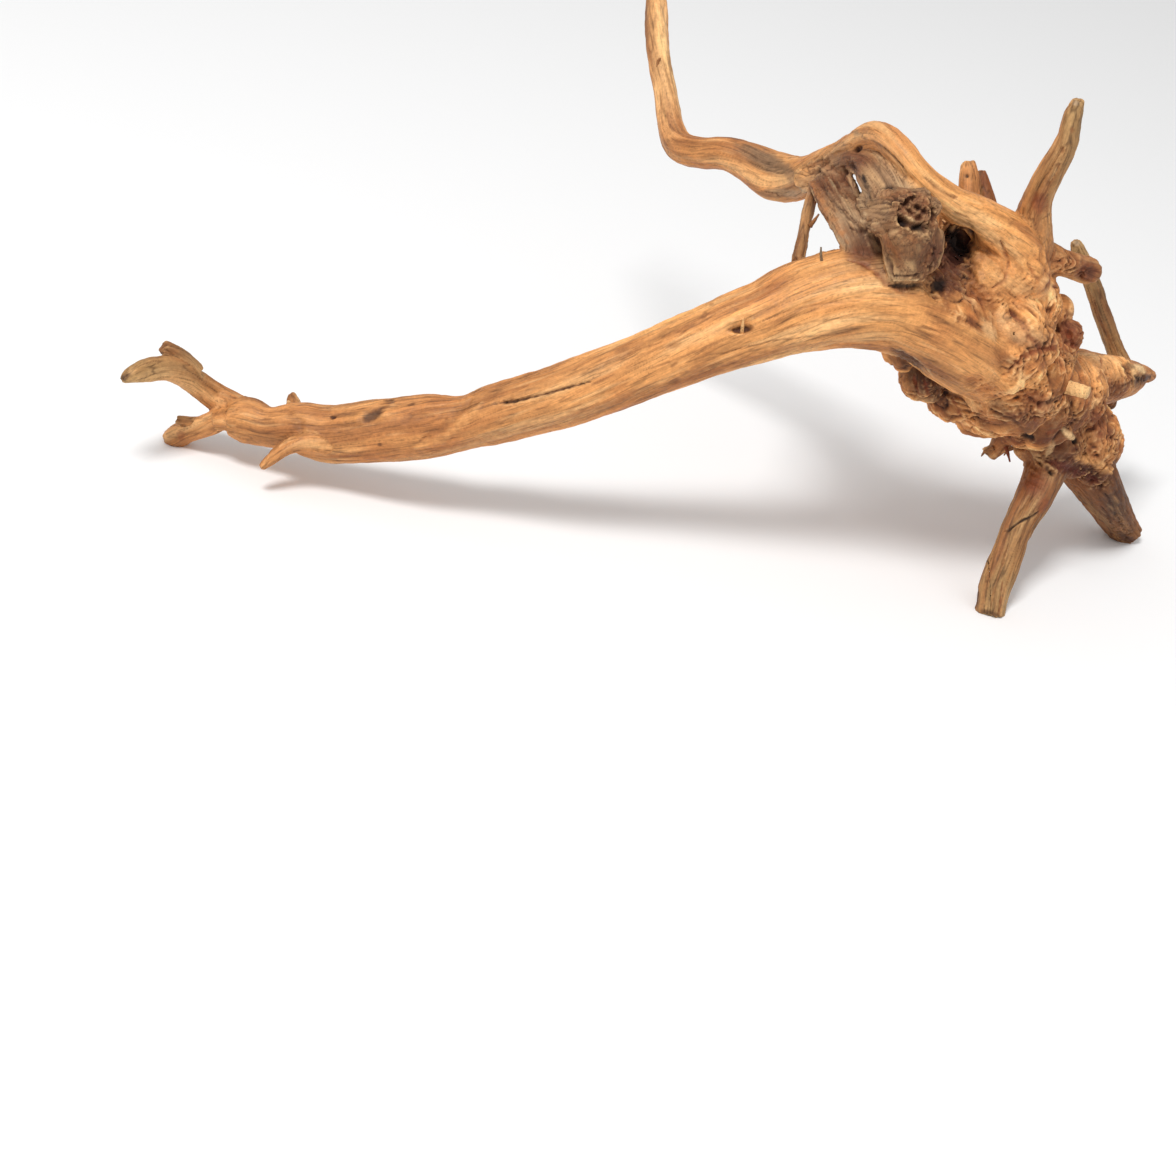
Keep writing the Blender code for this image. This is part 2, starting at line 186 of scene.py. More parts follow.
def to_world(points):
    return points @ AXES.T * UNIT - CORNER


def smooth_row(rows, step=4.0):
    """The stations joined by a smooth curve, a ring about every step."""
    rows = np.array(rows, float)
    ends = np.vstack([2 * rows[0] - rows[1], rows, 2 * rows[-1] - rows[-2]])
    out = []
    for i in range(1, len(ends) - 2):
        a, b, c, d = ends[i - 1:i + 3]
        count = max(1, int(np.linalg.norm((c - b)[:3]) / step))
        for t in np.arange(count) / count:
            out.append(0.5 * (2 * b + (c - a) * t + (2 * a - 5 * b + 4 * c - d) * t ** 2
                              + (3 * b - a - 3 * c + d) * t ** 3))
    out.append(rows[-1])
    return np.array(out)


def stations_in_space(limb):
    """Centres and half widths in picture units of space."""
    rows = []
    for across, down, depth, seen, deep in limb:
        shrink = 1 - depth / VIEW_DISTANCE
        rows.append([*place(across, down, depth), seen * shrink, deep * shrink])
    return smooth_row(rows)


def tube(bm, rows, sides=28):
    """A closed tube with oval rings and flat ends. Returns its rings."""
    centres = rows[:, :3]
    along = np.gradient(centres, axis=0)
    along /= np.linalg.norm(along, axis=1)[:, None]
    rings = []
    across = None
    for centre, tangent, (seen, deep) in zip(centres, along, rows[:, 3:]):
        side = np.cross([0, 0, 1.0], tangent)
        if np.linalg.norm(side) < 0.25 and across is not None:
            side = across - tangent * (across @ tangent)
        elif np.linalg.norm(side) < 0.05:
            side = np.cross([0, 1.0, 0], tangent)
        side /= np.linalg.norm(side)
        across = side
        far = np.cross(tangent, side)
        turn = np.arange(sides) * 2 * math.pi / sides
        points = centre + np.outer(np.cos(turn) * seen, side) + np.outer(np.sin(turn) * deep, far)
        rings.append([bm.verts.new(p) for p in points])
    for low, high in zip(rings, rings[1:]):
        for i in range(sides):
            j = (i + 1) % sides
            bm.faces.new((low[i], low[j], high[j], high[i]))
    bm.faces.new(rings[0][::-1])
    bm.faces.new(rings[-1])
    return rings


def fused():
    """All tubes and lumps fused on the fine grid and softened. Returns points and four-sided faces."""
    bm = bmesh.new()
    for limb in LIMBS:
        tube(bm, stations_in_space(limb))
    tube(bm, stations_in_space(WALL))
    tube(bm, stations_in_space(BARK))
    tube(bm, stations_in_space(EDGE))
    for across, down, depth, radius in LUMPS + FILLS:
        made = bmesh.ops.create_icosphere(bm, subdivisions=4, radius=radius)
        bmesh.ops.translate(bm, verts=made["verts"], vec=place(across, down, depth))
    mesh = bpy.data.meshes.new("sketch")
    bm.to_mesh(mesh)
    bm.free()
    obj = bpy.data.objects.new("sketch", mesh)
    bpy.context.scene.collection.objects.link(obj)
    fuse = obj.modifiers.new("fuse", "REMESH")
    fuse.mode = "VOXEL"
    fuse.voxel_size = FINE
    soft = obj.modifiers.new("soft", "SMOOTH")
    soft.factor = 0.5
    soft.iterations = SOFTEN
    graph = bpy.context.evaluated_depsgraph_get()
    graph.update()
    shape = bpy.data.meshes.new_from_object(obj.evaluated_get(graph))
    points = np.empty(len(shape.vertices) * 3)
    shape.vertices.foreach_get("co", points)
    corners = np.empty(len(shape.loops), np.int32)
    shape.loops.foreach_get("vertex_index", corners)
    bpy.data.objects.remove(obj)
    bpy.data.meshes.remove(mesh)
    bpy.data.meshes.remove(shape)
    return points.reshape(-1, 3), corners.reshape(-1, 4)


class Surface:
    """Points and faces with what is measured on them."""

    def __init__(self, points, faces):
        self.points = points
        self.faces = faces
        ends = np.sort(np.vstack([faces[:, [i, (i + 1) % 4]] for i in range(4)]), axis=1)
        self.edges = np.unique(ends, axis=0)
        self.degree = np.bincount(self.edges.ravel(), minlength=len(points)).astype(float)

    def spread(self, values, rounds=1):
        """Values averaged with those of the neighbours."""
        values = np.asarray(values, float)
        flat = values.reshape(len(values), -1)
        low, high = self.edges.T
        for _ in range(rounds):
            out = np.empty_like(flat)
            for k in range(flat.shape[1]):
                total = np.bincount(low, flat[high, k], len(flat))
                total += np.bincount(high, flat[low, k], len(flat))
                out[:, k] = 0.5 * flat[:, k] + 0.5 * total / self.degree
            flat = out
        return flat.reshape(values.shape)

    def normals(self):
        a, b, c, d = (self.points[self.faces[:, i]] for i in range(4))
        face = np.cross(c - a, d - b)
        out = np.empty_like(self.points)
        for k in range(3):
            out[:, k] = sum(np.bincount(self.faces[:, i], face[:, k], len(out)) for i in range(4))
        return out / np.maximum(np.linalg.norm(out, axis=1), 1e-9)[:, None]


GRADIENTS = np.random.default_rng(5).normal(size=(64, 3))
GRADIENTS *= 1.6 / np.linalg.norm(GRADIENTS, axis=1)[:, None]


def waves(points, seed=0):
    """Smooth random values about -1 to 1 in space, about one swell to a unit."""
    cell = np.floor(points)
    inside = points - cell
    cell = cell.astype(np.int64)
    ease = inside ** 3 * (inside * (inside * 6 - 15) + 10)
    total = np.zeros(len(points))
    for corner in range(8):
        step = np.array([corner & 1, corner >> 1 & 1, corner >> 2])
        mixed = ((cell + step) * [73856093, 19349663, 83492791]).sum(1) + seed * 2654435761
        mixed = (mixed ^ mixed >> 15) * 0x2C1B3C6D & 0xFFFFFFFF
        mixed = (mixed ^ mixed >> 12) * 0x297A2D39 & 0xFFFFFFFF
        way = GRADIENTS[(mixed ^ mixed >> 15) & 63]
        share = np.where(step, ease, 1 - ease).prod(1)
        total += share * ((inside - step) * way).sum(1)
    return total


def layered(points, layers, seed=0):
    """Waves with finer and weaker ones on top."""
    total = np.zeros(len(points))
    for i in range(layers):
        total += waves(points * 2.03 ** i + 13.7 * i, seed + i) * 0.5 ** i
    return total


def step_up(values, low, high):
    """0 below low, 1 above high, smooth between."""
    share = np.clip((values - low) / (high - low), 0, 1)
    return share * share * (3 - 2 * share)


class Limbs:
    """For each point: how far it is outside each limb and lump, and where it is along the nearest."""

    def __init__(self, points):
        count = len(points)
        self.rows = [stations_in_space(limb) for limb in LIMBS]
        self.gap = np.empty((len(LIMBS), count), np.float32)
        self.station = np.empty((len(LIMBS), count), np.int32)
        square = (points ** 2).sum(1)
        for n, rows in enumerate(self.rows):
            best = np.full(count, 1e9)
            where = np.zeros(count, np.int32)
            for i, row in enumerate(rows):
                away = np.sqrt(np.maximum(square - 2 * points @ row[:3] + row[:3] @ row[:3], 0))
                away -= 0.5 * (row[3] + row[4])
                nearer = away < best
                best[nearer] = away[nearer]
                where[nearer] = i
            self.gap[n] = best
            self.station[n] = where
        self.lump_gap = np.full(count, 1e9)
        for across, down, depth, radius in LUMPS:
            gap = np.linalg.norm(points - place(across, down, depth), axis=1) - radius
            np.minimum(self.lump_gap, gap, out=self.lump_gap)
        share = np.clip((self.gap.min(0) - self.lump_gap + 6) / 14, 0, 1)
        self.burl = share * share * (3 - 2 * share)
        weight = np.exp(-np.clip(self.gap - self.gap.min(0), 0, 60) / 2.5)
        self.weight = weight / weight.sum(0)
        self.main = self.gap.argmin(0)
        self.along = np.empty((count, 3))
        self.travelled = np.empty(count)
        self.part = np.empty(count)
        for n, rows in enumerate(self.rows):
            mine = np.nonzero(self.main == n)[0]
            self.along[mine], self.travelled[mine], self.part[mine] = self.limb_place(points[mine], n, mine)

    def frames(self, n):
        """Centres, directions and two crosswise directions that don't turn, for each station."""
        rows = self.rows[n]
        centres = rows[:, :3]
        way = np.gradient(centres, axis=0)
        way /= np.linalg.norm(way, axis=1)[:, None]
        side = np.cross(way[0], [0.3, 0.5, 0.8])
        sides = []
        for tangent in way:
            side = side - tangent * (side @ tangent)
            side /= np.linalg.norm(side)
            sides.append(side)
        sides = np.array(sides)
        length = np.r_[0, np.cumsum(np.linalg.norm(np.diff(centres, axis=0), axis=1))]
        return centres, way, sides, np.cross(way, sides), length

    def limb_place(self, points, n, mine):
        """Crosswise two ways and lengthwise, the length from the limb's start, and that as a share."""
        centres, way, side, far, length = self.frames(n)
        i = self.station[n, mine]
        off = points - centres[i]
        on = (off * way[i]).sum(1)
        run = length[i] + on
        whole = np.interp(run, length, np.arange(len(length)))
        low = np.minimum(whole.astype(int), len(length) - 2)
        part = (whole - low)[:, None]
        off = points - centres[low] - part * (centres[low + 1] - centres[low])
        u = (off * (side[low] + part * (side[low + 1] - side[low]))).sum(1)
        v = (off * (far[low] + part * (far[low + 1] - far[low]))).sum(1)
        turn = run / 420 + n
        flat = np.c_[u * np.cos(turn) - v * np.sin(turn), u * np.sin(turn) + v * np.cos(turn)]
        return np.c_[flat + 97 * n, run], run, np.clip(run / length[-1], 0, 1)


def coarse_relief(points, normals, burl, calm):
    """The knobs and folds of the burl and the ripples and dents of the model. Also gives the creases."""
    height = np.empty(len(points))
    crease = np.zeros(len(points))
    for i, (p, share) in enumerate(zip(points, burl)):
        where = Vector(p)
        height[i] = (1 - share) * noise.noise(where / 55)
        if share > 0:
            warp = where + 9 * noise.noise_vector(where / 40)
            knobs = abs(noise.noise(warp / 30))
            folds = abs(noise.noise(warp / 13 + Vector((7, 3, 1))))
            sharp = min(1, max(0.25, 0.6 + 2 * noise.noise(where / 44 + Vector((3, 9, 2))))) * (1 - 0.85 * calm[i])
            height[i] += share * (7 * knobs - 2.2 + sharp * (3.4 * folds - 1.0))
            crease[i] = share * sharp * max(1 - knobs / 0.14, 0) ** 1.5
    for across, down, depth, radius, deep in DENTS + NOTCHES:
        near = np.linalg.norm(points - place(across, down, depth), axis=1) / radius
        height -= deep * np.exp(-near ** 4)
    return points + normals * height[:, None], crease


def tint(red, green, blue):
    """A colour in Blender's linear numbers."""
    parts = np.array([red, green, blue]) / 255
    return ((parts + 0.055) / 1.055) ** 2.4


GOLD = tint(226, 163, 100)
TAN = tint(198, 138, 84)
ORANGE = tint(194, 122, 68)
OLIVE = tint(172, 136, 90)
GREY = tint(166, 138, 108)
BROWN = tint(146, 96, 56)
RED = tint(128, 64, 36)
DARK = tint(70, 38, 24)
BLACK = tint(30, 17, 12)
CREAM = tint(242, 204, 150)

# Each limb's colour and how weathered it is, at its first and last station
LOOKS = [(TAN, GOLD, 0.1, 0.05), (TAN, OLIVE, 0.2, 0.6), (OLIVE, BROWN, 0.4, 0.8), (TAN, TAN, 0.1, 0.2),
         (TAN, BROWN, 0.3, 0.6), (TAN, TAN, 0.1, 0.3), (TAN, BROWN, 0.2, 0.6), (TAN, GOLD, 0.15, 0.0),
         (GREY, GREY, 1, 1), (tint(178, 134, 96), GREY, 0.6, 0.9), (GREY, tint(150, 112, 80), 1, 0.9),
         (tint(150, 108, 74), tint(150, 112, 78), 0.35, 0.5),
         (TAN, BROWN, 0.3, 0.5), (OLIVE, TAN, 0.7, 0.3), (TAN, TAN, 0.1, 0.4), (TAN, TAN, 0.1, 0.6),
         (BROWN, RED, 0.3, 0.6), (OLIVE, OLIVE, 0.8, 0.7), (TAN, TAN, 0.1, 0.3), (BROWN, DARK, 0.2, 0.6),
         (OLIVE, BROWN, 0.7, 0.2), (BROWN, BROWN, 0.8, 0.4), (RED, BROWN, 0.4, 0.7), (GOLD, GOLD, 0, 0)]

# Weathered patches: eye, across, down, half length, half width, turn in degrees, how much
WORN = [("A", 768, 163, 36, 10, -28, 1), ("A", 778, 193, 25, 6, 5, 0.8), ("A", 843, 163, 14, 10, 40, 0.8),
        ("B", 373, 600, 16, 5, 20, 0.8), ("B", 437, 668, 18, 14, 0, 0.6), ("A", 893, 270, 20, 18, 0, 0.7),
        ("A", 1140, 372, 12, 9, 0, 0.7), ("B", 384, 655, 30, 32, 0, 0.6)]

# Knobby patches outside the burl's lumps, as the weathered ones
KNOBBY = [("A", 1068, 268, 24, 22, 0, 0.9), ("A", 1030, 478, 16, 14, 0, 0.6), ("A", 1120, 374, 30, 26, 0, 1), ("A", 1098, 372, 16, 22, 0, 1), ("A", 1138, 376, 16, 12, 0, 0.7),
          ("A", 966, 305, 50, 22, -42, 1), ("A", 1112, 378, 36, 26, 0, 0.9), ("A", 1000, 450, 12, 12, 0, 0.6),
          ("A", 1045, 462, 24, 12, -20, 1), ("A", 1092, 478, 26, 12, -25, 1), ("B", 310, 845, 24, 14, 0, 0.8), ("B", 445, 668, 24, 16, 0, 0.6), ("A", 985, 396, 30, 16, -40, 0.8)]
# Calm patches, where the surface is smoother than around them
CALM = [("B", 345, 755, 62, 50, 0, 0.9), ("B", 300, 795, 40, 24, 0, 0.5), ("A", 1014, 288, 28, 18, -35, 0.8), ("A", 988, 276, 22, 16, -30, 0.9), ("A", 1037, 268, 14, 12, 0, 0.9),
        ("A", 1003, 342, 26, 16, -20, 0.5), ("A", 908, 256, 30, 30, 0, 0.9), ("A", 1082, 391, 16, 11, -15, 1),
        ("A", 872, 172, 20, 30, -25, 0.6), ("B", 405, 655, 60, 18, 22, 0.5), ("A", 1040, 335, 14, 14, 0, 0.5)]
# Broad patches: eye, across, down, half length, half width, turn, colour, strength. Some are the wood's own colour;
# some are painted shade (under the burl, skirt and legs, in the cavity and the gaps, on the arm's far end) and some are
# painted light (the arm's lit top, and the lit sides of trunk, burl, root and legs in the lower figure)
TONES_AND_PAINTED_LIGHT = [("A", 1076, 468, 50, 16, -22, tint(84, 40, 26), 0.75), ("A", 1068, 268, 28, 24, 0, tint(148, 88, 52), 0.55),
          ("A", 1050, 440, 44, 16, -30, tint(104, 54, 34), 0.45), ("A", 1010, 415, 40, 10, -32, tint(96, 50, 32), 0.45),
          ("A", 760, 160, 40, 12, -25, tint(150, 118, 88), 0.7), ("A", 792, 186, 22, 14, 0, tint(170, 136, 104), 0.5),
          ("A", 1062, 430, 62, 50, -20, tint(122, 66, 38), 0.65), ("A", 930, 385, 50, 26, -32, tint(96, 50, 30), 0.85),
          ("A", 915, 372, 30, 12, -35, tint(64, 34, 22), 0.6), ("A", 665, 60, 90, 22, 90, tint(246, 200, 142), 0.85),
          ("A", 880, 212, 22, 14, -10, tint(160, 122, 86), 0.7),
          ("A", 862, 178, 34, 26, 0, tint(164, 126, 90), 0.5), ("A", 838, 202, 44, 20, -55, tint(170, 138, 104), 0.85),
          ("A", 908, 256, 34, 34, 0, tint(146, 104, 68), 0.85), ("A", 868, 240, 26, 12, -30, tint(96, 52, 34), 0.7),
          ("B", 322, 702, 46, 18, 50, tint(200, 142, 88), 0.95), ("B", 280, 746, 30, 16, 50, tint(204, 148, 92), 0.95),
          ("B", 405, 655, 62, 18, 22, tint(150, 96, 56), 0.9), ("B", 392, 612, 44, 16, 35, tint(136, 78, 46), 0.9),
          ("B", 375, 650, 34, 26, 10, tint(104, 58, 36), 0.6),
          ("B", 424, 600, 12, 9, 30, tint(60, 32, 22), 0.8), ("B", 335, 755, 64, 50, 0, tint(250, 186, 112), 0.85),
          ("B", 280, 720, 70, 16, 60, tint(226, 166, 108), 0.6),
          ("B", 318, 555, 80, 18, 90, tint(226, 168, 110), 0.8), ("B", 235, 888, 44, 24, 50, tint(176, 122, 78), 0.6),
          ("B", 865, 1135, 50, 26, -60, tint(206, 150, 98), 0.6), ("B", 540, 760, 100, 36, -50, tint(250, 190, 120), 0.7),
          ("A", 1042, 178, 60, 16, 62, tint(150, 104, 64), 0.35),
          ("B", 385, 765, 26, 40, -30, tint(176, 116, 64), 0.4), ("B", 300, 640, 60, 16, 55, tint(196, 140, 88), 0.5),
          ("A", 1000, 420, 40, 20, -35, tint(150, 90, 52), 0.4), ("A", 1075, 335, 26, 36, -30, tint(124, 66, 40), 0.6),
          ("A", 945, 262, 34, 46, -20, tint(92, 48, 30), 0.75), ("A", 985, 300, 36, 26, -40, tint(150, 88, 50), 0.35),
          ("A", 1112, 510, 30, 46, -30, tint(88, 54, 38), 0.75), ("A", 1106, 300, 24, 70, -20, tint(112, 80, 54), 0.7),
          ("A", 1105, 366, 22, 18, 0, tint(222, 168, 112), 0.7),
          ("A", 1116, 392, 20, 12, 45, tint(120, 64, 40), 0.8), ("A", 1142, 380, 16, 7, 10, tint(64, 38, 28), 0.8), ("A", 1003, 360, 20, 12, -40, tint(120, 62, 36), 0.5),
          ("A", 1090, 474, 34, 18, -25, tint(104, 50, 32), 0.6), ("A", 1036, 486, 22, 22, 0, tint(124, 62, 38), 0.6),
          ("A", 870, 262, 40, 30, -30, tint(110, 66, 42), 0.3), ("B", 384, 650, 40, 40, 0, tint(110, 62, 38), 0.45),
          ("B", 400, 720, 26, 26, 0, tint(130, 80, 50), 0.4),
          ("B", 300, 830, 70, 26, -10, tint(150, 92, 52), 0.35), ("B", 90, 802, 90, 18, 5, tint(140, 96, 64), 0.85),
          ("B", 395, 610, 50, 16, 30, tint(118, 66, 42), 0.5)]
# Crumbly patches, as the weathered ones
CRUMBLY = [("A", 914, 212, 25, 21, -20, 1), ("B", 386, 655, 30, 32, 0, 0.6), ("A", 948, 268, 26, 30, -50, 0.9),
           ("B", 437, 666, 18, 16, 0, 0.7), ("B", 452, 584, 14, 9, 10, 0.9), ("A", 925, 375, 30, 10, -32, 0.5),
           ("A", 1080, 273, 17, 11, -10, 0.6), ("A", 1120, 530, 18, 12, -40, 0.5),
           ("B", 792, 1045, 9, 12, -10, 1), ("B", 395, 722, 14, 12, 0, 0.7)]
FLOW = np.array([[0.66, 0.75, 0.0], [-0.29, 0.25, 0.92], [0.69, -0.61, -0.38]])

# Patches: eye, across, down, half length, half width, turn, raised, colour, strength. The black and darkest sunk ones
# in the cavity between flap and burl, in the flap's holes and in the gaps beside the shell are painted shade
PATCHES = [("A", 768, 160, 36, 8, -26, -0.6, tint(126, 96, 70), 0.8), ("A", 791, 177, 15, 6, -40, -0.5, tint(138, 106, 78), 0.55),
           ("A", 797, 194, 14, 5, 10, 0, tint(186, 160, 132), 0.6),
           ("A", 372, 415, 15, 6.5, 25, -1.8, DARK, 0.85), ("A", 342, 414, 11, 2.6, 8, -0.3, BROWN, 0.5),
           ("A", 333, 417, 3.4, 2.2, 0, -1.6, DARK, 0.9), ("A", 411, 404, 5, 2, 12, -0.5, DARK, 0.7),
           ("A", 380, 445, 2.8, 2.2, 0, -0.6, DARK, 0.7), ("A", 622, 350, 8, 3.4, 25, -0.4, BROWN, 0.7),
           ("A", 674, 346, 8, 3.4, 15, -0.9, BROWN, 0.55), ("A", 674, 365, 5, 2.4, 35, -0.7, BROWN, 0.6),
           ("A", 674, 382, 7, 3.4, 12, -1.2, DARK, 0.55), ("A", 704, 315, 3, 5.5, -30, -0.6, BROWN, 0.8),
           ("A", 741, 329.5, 14, 4, 4, -3.2, DARK, 0.95), ("A", 741, 321, 15, 3.5, 8, 1.3, GOLD, 0.3),
           ("A", 858, 149, 5, 2.6, 35, -2.4, DARK, 0.9), ("A", 862, 256, 19, 13, -20, -0.8, tint(112, 64, 42), 0.75),
           # Painted shade: the dark and black sunk patches of the cavity between flap and burl, and below them those of
           # the flap's holes
           ("A", 946, 270, 17, 30, 15, -1.5, tint(96, 52, 34), 0.8),
           ("A", 959, 243, 22, 15, 70, -2.4, tint(72, 34, 24), 0.85),
           ("A", 958, 242, 18, 9, 118, -4, BLACK, 0.97), ("A", 940, 284, 12, 7, 40, -3.5, BLACK, 0.95),
           ("A", 970, 232, 3, 4.5, 0, -2, BLACK, 0.9), ("A", 914, 211, 23, 19, -20, -1, tint(120, 74, 50), 0.5),
           ("A", 902, 221, 8, 4.5, -35, -6, BLACK, 0.95), ("A", 919, 227, 10, 5.5, -8, -7, BLACK, 0.97),
           ("A", 924, 212, 4, 3, 20, -4, DARK, 0.9), ("A", 912, 198, 5, 2.5, 30, -3, DARK, 0.8),
           ("A", 905, 203, 5, 4, 0, -3, DARK, 0.9), ("A", 918, 208, 5, 3, -40, -3, DARK, 0.9),
           ("A", 932, 215, 3, 6, 20, -2, DARK, 0.8), ("A", 911, 219, 7, 2, -30, 2, CREAM, 0.4),
           ("A", 908, 362, 26, 8, -35, -3, DARK, 0.85), ("A", 1078, 390, 16, 10, -15, 0, tint(150, 96, 60), 0.6),
           ("A", 1068, 434, 8, 4, -40, 2.5, CREAM, 0.6), ("A", 1075, 441, 3.4, 3.6, 0, -4, BLACK, 0.95),
           ("A", 1050, 448, 9, 4, 60, 2, CREAM, 0.45), ("A", 1098, 424, 11, 20, 20, 0.5, tint(118, 62, 40), 0.6),
           ("A", 1027, 438, 8, 5, -20, -5, BLACK, 0.95), ("A", 1074, 330, 20, 26, -30, -1, RED, 0.5),
           ("A", 1040, 400, 16, 9, -20, -1.5, RED, 0.5), ("A", 990, 330, 14, 6, -60, 1, CREAM, 0.35),
           ("A", 1000, 275, 26, 20, -30, 0.6, GOLD, 0.5), ("A", 1020, 330, 30, 14, -25, 0.8, CREAM, 0.25),
           ("A", 1040, 203, 10, 13, 15, 0, RED, 0.65), ("A", 1062, 150, 3, 4, 0, -0.6, BROWN, 0.8),
           ("A", 1058, 166, 2.5, 4, 0, -0.6, BROWN, 0.8), ("A", 1048, 184, 3, 4, 0, -0.6, BROWN, 0.8),
           ("A", 1072, 130, 2.5, 3.5, 0, -0.6, BROWN, 0.8), ("A", 1076, 103, 4, 4, 0, 0, GREY, 0.8),
           ("A", 967, 176, 2.4, 2.4, 0, -1.5, BLACK, 0.9), ("A", 1140, 369, 9, 4, -25, 1.5, CREAM, 0.75),
           ("A", 1148, 378, 8, 4, 10, 0, DARK, 0.85), ("A", 1128, 367, 7, 5, 0, -1, DARK, 0.7),
           ("A", 1036, 482, 16, 14, 0, 0, RED, 0.6), ("A", 1043, 505, 7, 10, -30, 0, RED, 0.6),
           ("A", 989, 614, 13, 4, -15, -1, DARK, 0.7), ("A", 1128, 540, 14, 5, -30, -1, DARK, 0.8),
           ("A", 1077, 243, 4, 4, 0, 0, GREY, 0.8), ("A", 1088, 271, 14, 14, 0, -1, tint(112, 58, 36), 0.8), ("A", 1092, 272, 7, 7, 0, -2.5, DARK, 0.6),
           ("A", 125, 377, 7, 4, 30, 0, DARK, 0.7), ("A", 172, 352, 8, 4, 10, 0, BROWN, 0.7),
           ("A", 181, 436, 5, 6, 0, 0, RED, 0.5), ("A", 815, 172, 9, 3, 20, -1, DARK, 0.6),
           ("B", 633, 870, 5.5, 8, 30, -1.8, DARK, 0.8), ("B", 678, 903, 5, 6, 0, -2, DARK, 0.9),
           ("B", 639, 908, 4, 8, 30, -1, RED, 0.8), ("B", 624, 886, 3, 8, 30, -0.5, BROWN, 0.8),
           ("B", 736, 954, 6, 5, -30, -2.5, DARK, 0.9), ("B", 740, 950, 4, 2, -30, 1.5, CREAM, 0.6),
           ("B", 779, 998, 5, 2.4, -30, -1.2, DARK, 0.8), ("B", 792, 1045, 8, 11, -10, -4, DARK, 0.92),
           ("B", 789, 1036, 4, 3, 0, 3, CREAM, 0.5), ("B", 672, 880, 5, 4, 0, -0.8, BROWN, 0.8),
           ("B", 652, 862, 3, 3, 0, -0.6, BROWN, 0.8), ("B", 725, 977, 3, 3, 0, -0.6, BROWN, 0.7),
           ("B", 545, 727, 2.4, 2.4, 0, -0.6, BROWN, 0.7), ("B", 487, 699, 3, 2.4, 0, -1, DARK, 0.8),
           ("B", 384, 655, 29, 31, 0, -1.5, tint(118, 68, 40), 0.7), ("B", 386, 630, 18, 9, 10, -3, DARK, 0.8),
           ("B", 365, 650, 6, 7, 0, -3, DARK, 0.7), ("B", 356, 682, 9, 5, -10, -3, DARK, 0.7),
           # Painted shade: the two black patches on the next line, in the gaps beside the shell
           ("B", 428, 592, 10, 7, 35, -4, BLACK, 0.95), ("B", 452, 586, 9, 5, 10, -4, BLACK, 0.9),
           ("B", 428, 676, 7, 3, -10, -1.5, DARK, 0.7), ("B", 441, 680, 8, 2.5, -10, -1.2, DARK, 0.7),
           ("B", 432, 658, 9, 5, 20, -1, BROWN, 0.6), 
           ("B", 381, 740, 7, 6, 0, -1, RED, 0.6),
           ("B", 395, 720, 10, 9, 0, -1, BROWN, 0.7), ("B", 430, 714, 5, 2.5, 40, -1, DARK, 0.8),
           ("B", 264, 660, 5, 6, 0, -1, DARK, 0.75), ("B", 18, 806, 10, 9, 0, 0, BROWN, 0.6),
           ("B", 213, 915, 12, 5, 0, -1, DARK, 0.8),
           ("B", 432, 888, 9, 5, -30, -1, DARK, 0.8), ("B", 877, 1160, 9, 8, 0, 0, BROWN, 0.6)]

